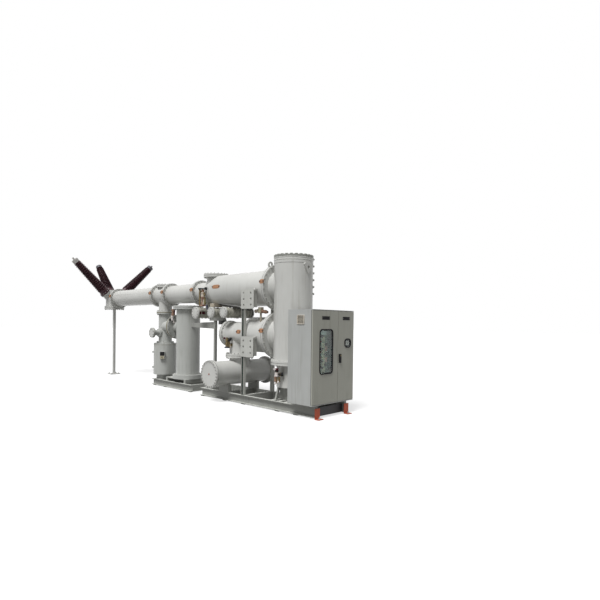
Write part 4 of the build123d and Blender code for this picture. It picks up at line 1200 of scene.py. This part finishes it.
dress(tank_paint, "outlet_housing", "outlet_leg")
outlet_flange = 0.300
outlet_drop = 0.337
outlet_joint = (0, leg_place, upper_z - outlet_drop + lid_thickness)
lean = radians(45)
hub_drop = 0.110
hub = np.array([0, leg_place, upper_z - hub_drop])
turret_reach = 0.4194
foot_flange = 0.040
foot_radius = 0.170
rakes = [
    np.array([np.sin(lean) * np.cos(turn), np.sin(lean) * np.sin(turn), np.cos(lean)])
    for turn in (np.pi, np.pi / 2, 0)
]
outlet_bolts, outlet_seals = flanged(
    [(outlet_joint, up, outlet_flange, 0.02, 20, 0.012, lid_thickness)]
)
seats = [hub + (turret_reach + foot_flange) * rake for rake in rakes]
for rake, seat in zip(rakes, seats):
    outlet_bolts.append(ringed(bolt(0.010), seat, rake, foot_radius - 0.018, 12))
    outlet_seals.append(seal(hub + turret_reach * rake, rake, foot_radius))
piece("outlet_bolts", outlet_bolts, bolt_steel)

# --- bushings ---
# Brown glazed porcelain with long and short sheds by turns, fired in one piece and
# cemented into a metal foot. Cast caps with a plain round stud close the upper ends.


def glazed(name, deep, worn):
    """Salt-brown glaze: darker where it pools, a hard clear coat, dust on the sheds."""
    material, tree, sockets = new_material(name)
    sockets["Specular IOR Level"].default_value = 0.25
    sockets["Coat Weight"].default_value = 0.05
    sockets["Coat Roughness"].default_value = 0.35
    pools = noise_mask(tree, 14.0, 0.3, 0.7)
    dust_and_top_light = node(tree, "Group", node_tree=weather).outputs["Dust"]
    colour = mixed(tree, pools, [*deep, 1], [*worn, 1])
    colour = blended(tree, dust_and_top_light, 0.08, colour, (0.30, 0.25, 0.23, 1))
    rims = node(tree, "Group", {"Radius": 0.006}, node_tree=edges).outputs
    surfaced(tree, sockets, colour, dust_and_top_light, 0.38, 0.6, rims["Normal"])
    return material


brown_glaze = glazed("brown_glaze", (0.036, 0.009, 0.016), (0.068, 0.022, 0.028))
dress(brown_glaze, "bushings")
cast_metal = metal("cast_metal", (0.42, 0.41, 0.39), (0.25, 0.24, 0.23), roughness=0.5, metallic=0.75)
dress(cast_metal, "bushing_terminals")
# the caps away from the front one are painted darker, as painted shade; the mask rises across the bay
tree = cast_metal.node_tree
cap_colour = tree.nodes["Principled BSDF"].inputs["Base Color"]
unshaded_cap = cap_colour.links[0].from_socket
place = node(tree, "TexCoord").outputs["Object"]
cap_shade = spread(tree, node(tree, "SeparateXYZ", {0: place}).outputs["X"], -0.9, -0.6)
tree.links.new(blended(tree, cap_shade, 0.85, unshaded_cap, (0.045, 0.045, 0.058, 1)), cap_colour)
# a dark blue-grey collar clamps the porcelain down on its foot flange; its dark colour is painted shade
blued_steel = metal("blued_steel", (0.075, 0.080, 0.105), (0.04, 0.042, 0.055), roughness=0.45, metallic=0.5)
collar_root = foot_radius - 0.042
collar_top = foot_radius - 0.058
collar_profile = [
    (collar_root, 0),
    (collar_root, 0.045),
    (collar_root - 0.006, 0.055),
    (collar_top, 0.060),
    (collar_top - 0.012, 0.060),
]
collar = lathe(collar_profile, 48)
collars = [placed(collar, seat, rake) for rake, seat in zip(rakes, seats)]
piece("bushing_collars", collars, blued_steel)
# the bushings press their foot flanges down on the last three of the outlet's seals
piece("outlet_seals", outlet_seals, seal_rubber)

# --- bonding straps ---
# Copper straps bridge the sealing joints and a weld seam, bolted down at both ends. Each
# is bent to its rim, narrows toward its ends, and stands for the plain solid strap there.

copper = metal("copper", (0.46, 0.235, 0.120), (0.24, 0.120, 0.065), roughness=0.5, metallic=0.35)
strap_angle = radians(78)
strap_rise = 0.005
strap_half_width = 0.044
over_flange = flange + 0.020
seam_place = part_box("upper_tank")[1].y
seam_radius = 0.380
body_strap = split_y + 0.275
# each strap: its place along the bay, its axis's height, its rim's radius and its reach
strap_rims = [
    (nozzle_plane, upper_z, nozzle_flange, over_flange),
    (nozzle_plane, middle_z, nozzle_flange, over_flange),
    (seam_place, upper_z, seam_radius, 0.140),
    (body_strap, middle_z, disconnector_radius, 0.075),
]
strap_rims += [(plane, upper_z, line_flange, over_flange) for plane in line_planes]


def bent_strap(place, height, radius, reach, rows=15, steps=7):
    """Strap on a round rim: along the bay it runs from -reach to +reach about its place.

    At share u of the reach its half width is w(1 - 0.5 u^4), laid off round the rim from
    the strap's own angle. The loop goes over the top at the rim plus the strap's
    thickness and comes back a little under the rim.
    """
    share = np.linspace(-1, 1, rows)
    half = strap_half_width * (1 - 0.5 * share**4)
    across = np.linspace(-1, 1, steps)
    turn = strap_angle + half[:, None] * across[None] / radius
    turn = np.concatenate([turn, turn[:, ::-1]], 1)
    level = np.full_like(turn, radius + strap_rise)
    level[:, steps:] = radius - 0.002
    along = np.broadcast_to((place + reach * share)[:, None], turn.shape)
    loops = np.stack([-level * np.sin(turn), along, height + level * np.cos(turn)], -1)
    return lofted(loops)


straps = piece("copper_straps", [bent_strap(*rim) for rim in strap_rims], copper)
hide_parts("bonding_straps")
strap_way = np.array([-np.sin(strap_angle), 0, np.cos(strap_angle)])
bolt_inset = 0.014
strap_bolts = [
    (0, place + side * (reach - bolt_inset), height) + (radius + strap_rise) * strap_way
    for place, height, radius, reach in strap_rims
    for side in (-1, 1)
]
bolts = stamped(bolt(0.011), np.array(strap_bolts), strap_way)
piece("strap_bolts", [bolts], dark_steel)

# --- gas valves and monitor ---
# Filling valves stand on short arms at the tee, the branch, the drive housing and the
# transformer's link: bronze and brass bodies, nickel couplings, red caps, black handles.

bronze = metal("bronze", (0.30, 0.185, 0.125), (0.15, 0.085, 0.060), roughness=0.5, metallic=0.4)
tan_metal = metal("tan_metal", (0.56, 0.50, 0.42), (0.34, 0.28, 0.22), roughness=0.45, metallic=0.3)
nickel = metal("nickel", (0.70, 0.65, 0.63), (0.46, 0.42, 0.41), roughness=0.35, metallic=0.4)
dress(brass, "gas_valves")
dress(black_plastic, "valve_knobs")
dress(louvre_beige, "density_monitor")


def turned_bar(start, end, radii):
    """Turned bar between two points, its radii spread evenly along it, each a short land."""
    way = np.array(end, float) - np.array(start, float)
    stops = np.linspace(0, np.linalg.norm(way), len(radii) + 1)
    profile = []
    for radius, low, high in zip(radii, stops[:-1], stops[1:]):
        profile += [(radius, low + 0.002), (radius, high - 0.002)]
    return placed(lathe(profile, 24), start, way)


# Every bar of each valve: its finish, its two ends as (right, back, up) from the valve's
# place, and the radii of its lands. Right runs level along the valve's own arm, so that
# handles clear the tanks behind them.
arm_way = np.array([0.69, -0.72, 0])
tee_bars = [
    ("tan", (0, 0, -0.135), (0, 0, -0.020), (0.046, 0.040, 0.048)),
    ("bronze", (0, 0, -0.030), (0, 0, 0.040), (0.030, 0.026, 0.034)),
    ("black", (0, 0.060, 0.058), (0, -0.145, 0.058), (0.020, 0.016, 0.016, 0.034)),
    ("brass", (0, -0.040, -0.040), (0, -0.075, -0.105), (0.024, 0.018)),
    ("bronze", (0, 0, -0.200), (0, 0, -0.130), (0.046, 0.052)),
    ("tan", (0, 0.058, -0.320), (0, 0.058, -0.150), (0.014, 0.014)),
    ("bronze", (0, 0.020, -0.325), (0, 0.020, -0.195), (0.030, 0.026)),
    ("tan", (0, -0.030, -0.325), (0, -0.030, -0.195), (0.024, 0.020)),
    ("olive", (0, -0.090, -0.320), (0, -0.085, -0.150), (0.022, 0.018)),
    ("bronze", (0, 0.030, -0.360), (0, 0.030, -0.318), (0.066, 0.060)),
    ("red", (0, -0.055, -0.350), (0, -0.055, -0.318), (0.030, 0.026)),
    ("blue", (0, -0.190, -0.440), (0, -0.160, -0.330), (0.026, 0.030)),
    ("bronze", (0, -0.170, -0.342), (0, 0.020, -0.342), (0.014, 0.014)),
]
branch_bars = [
    ("blue", (0, 0, 0), (0, 0, 0.036), (0.060, 0.052)),
    ("brass", (0, 0, 0.034), (0, 0, 0.240), (0.034, 0.042, 0.030, 0.040, 0.028)),
    ("tan", (0.080, 0, 0.010), (0.050, 0, 0.150), (0.012, 0.010)),
    ("black", (0.024, 0, 0.210), (0.100, 0, 0.210), (0.016, 0.030, 0.032)),
    ("red", (-0.035, 0, 0.215), (-0.078, 0, 0.225), (0.018, 0.024)),
]
drive_bars = [
    ("bronze", (-0.020, 0, 0.020), (-0.020, 0, 0.130), (0.030, 0.026, 0.030)),
    ("tan", (0.026, 0, 0.025), (0.026, 0, 0.130), (0.014, 0.012)),
    ("brass", (0.058, 0, 0.012), (0.050, 0, 0.120), (0.016, 0.020)),
    ("nickel", (-0.040, 0, -0.025), (0.050, 0, 0.030), (0.016, 0.020)),
    ("nickel", (0, 0, 0.122), (0, 0, 0.205), (0.046, 0.038, 0.042)),
    ("black", (0.034, 0, 0.142), (0.060, 0, 0.142), (0.014, 0.012)),
    ("black", (0.046, 0, 0.168), (0.130, 0, 0.168), (0.017, 0.017, 0.038, 0.036)),
    ("nickel", (-0.005, 0.020, 0.198), (-0.005, 0.020, 0.285), (0.020, 0.034, 0.048)),
    ("red", (-0.020, -0.040, 0.222), (-0.020, -0.040, 0.288), (0.008, 0.018, 0.030)),
]
link_bars = [
    ("nickel", (-0.020, 0, -0.020), (-0.020, 0, 0.110), (0.032, 0.024, 0.036)),
    ("bronze", (0, 0, 0.105), (0, 0, 0.280), (0.044, 0.032, 0.044)),
    ("red", (0.030, 0, 0.120), (0.030, 0, 0.270), (0.022, 0.026)),
    ("black", (-0.040, 0, 0), (-0.100, 0, 0), (0.020, 0.034)),
    ("nickel", (0.062, 0.065, -0.085), (0, 0, 0), (0.024, 0.020)),
]
valve_shapes = {}
for origin, bars in (
    ((-0.330, 2.705, upper_z), tee_bars),
    ((-0.338, 1.734, 1.155), branch_bars),
    ((drive_low.x + 0.004, 0, 0.5575), drive_bars),
    ((-0.200, 4.270, 1.790), link_bars),
):
    for kind, *ends, radii in bars:
        start, end = [origin + step[0] * arm_way + (0, *step[1:]) for step in ends]
        valve_shapes.setdefault(kind, []).append(turned_bar(start, end, radii))
for kind, material, slot in (
    ("bronze", bronze, "valve_brass"),
    ("brass", brass, "valve_brass"),
    ("tan", tan_metal, "valve_brass"),
    ("nickel", nickel, "valve_brass"),
    ("olive", olive_seal, "handle_plastic"),
    ("blue", blued_steel, "terminal_metal"),
    ("red", mark_red, "handle_plastic"),
    ("black", black_plastic, "handle_plastic"),
):
    piece(f"valve_{kind}", valve_shapes[kind], material)

# the monitor's tan coupling sticks out toward the line end, its probe toward the breaker
monitor_low, monitor_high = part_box("density_monitor")
monitor = box_middle("density_monitor")
probe_z = monitor_high.z - 0.085
probe_fall = 0.02
probe_length = 0.170
coupling_length = 0.130
probe_end = (monitor.x, monitor_low.y - probe_length, probe_z - probe_fall)
probe = turned_bar((monitor.x, monitor_low.y, probe_z), probe_end, (0.036, 0.030, 0.038, 0.026))
coupling_root = (monitor.x, monitor_high.y, probe_z + probe_fall)
coupling_end = (monitor.x, monitor_high.y + coupling_length, probe_z)
coupling = turned_bar(coupling_root, coupling_end, (0.030, 0.038, 0.030, 0.038))
face_place = (monitor_low.x, monitor.y, monitor_high.z - 0.0625)
face = placed(plate(0.070, 0.112, 0.006, 0.006), face_place, left)
piece("monitor_face", [face], cream)
piece("monitor_probe", [probe], bronze)
piece("monitor_coupling", [coupling], tan_metal)
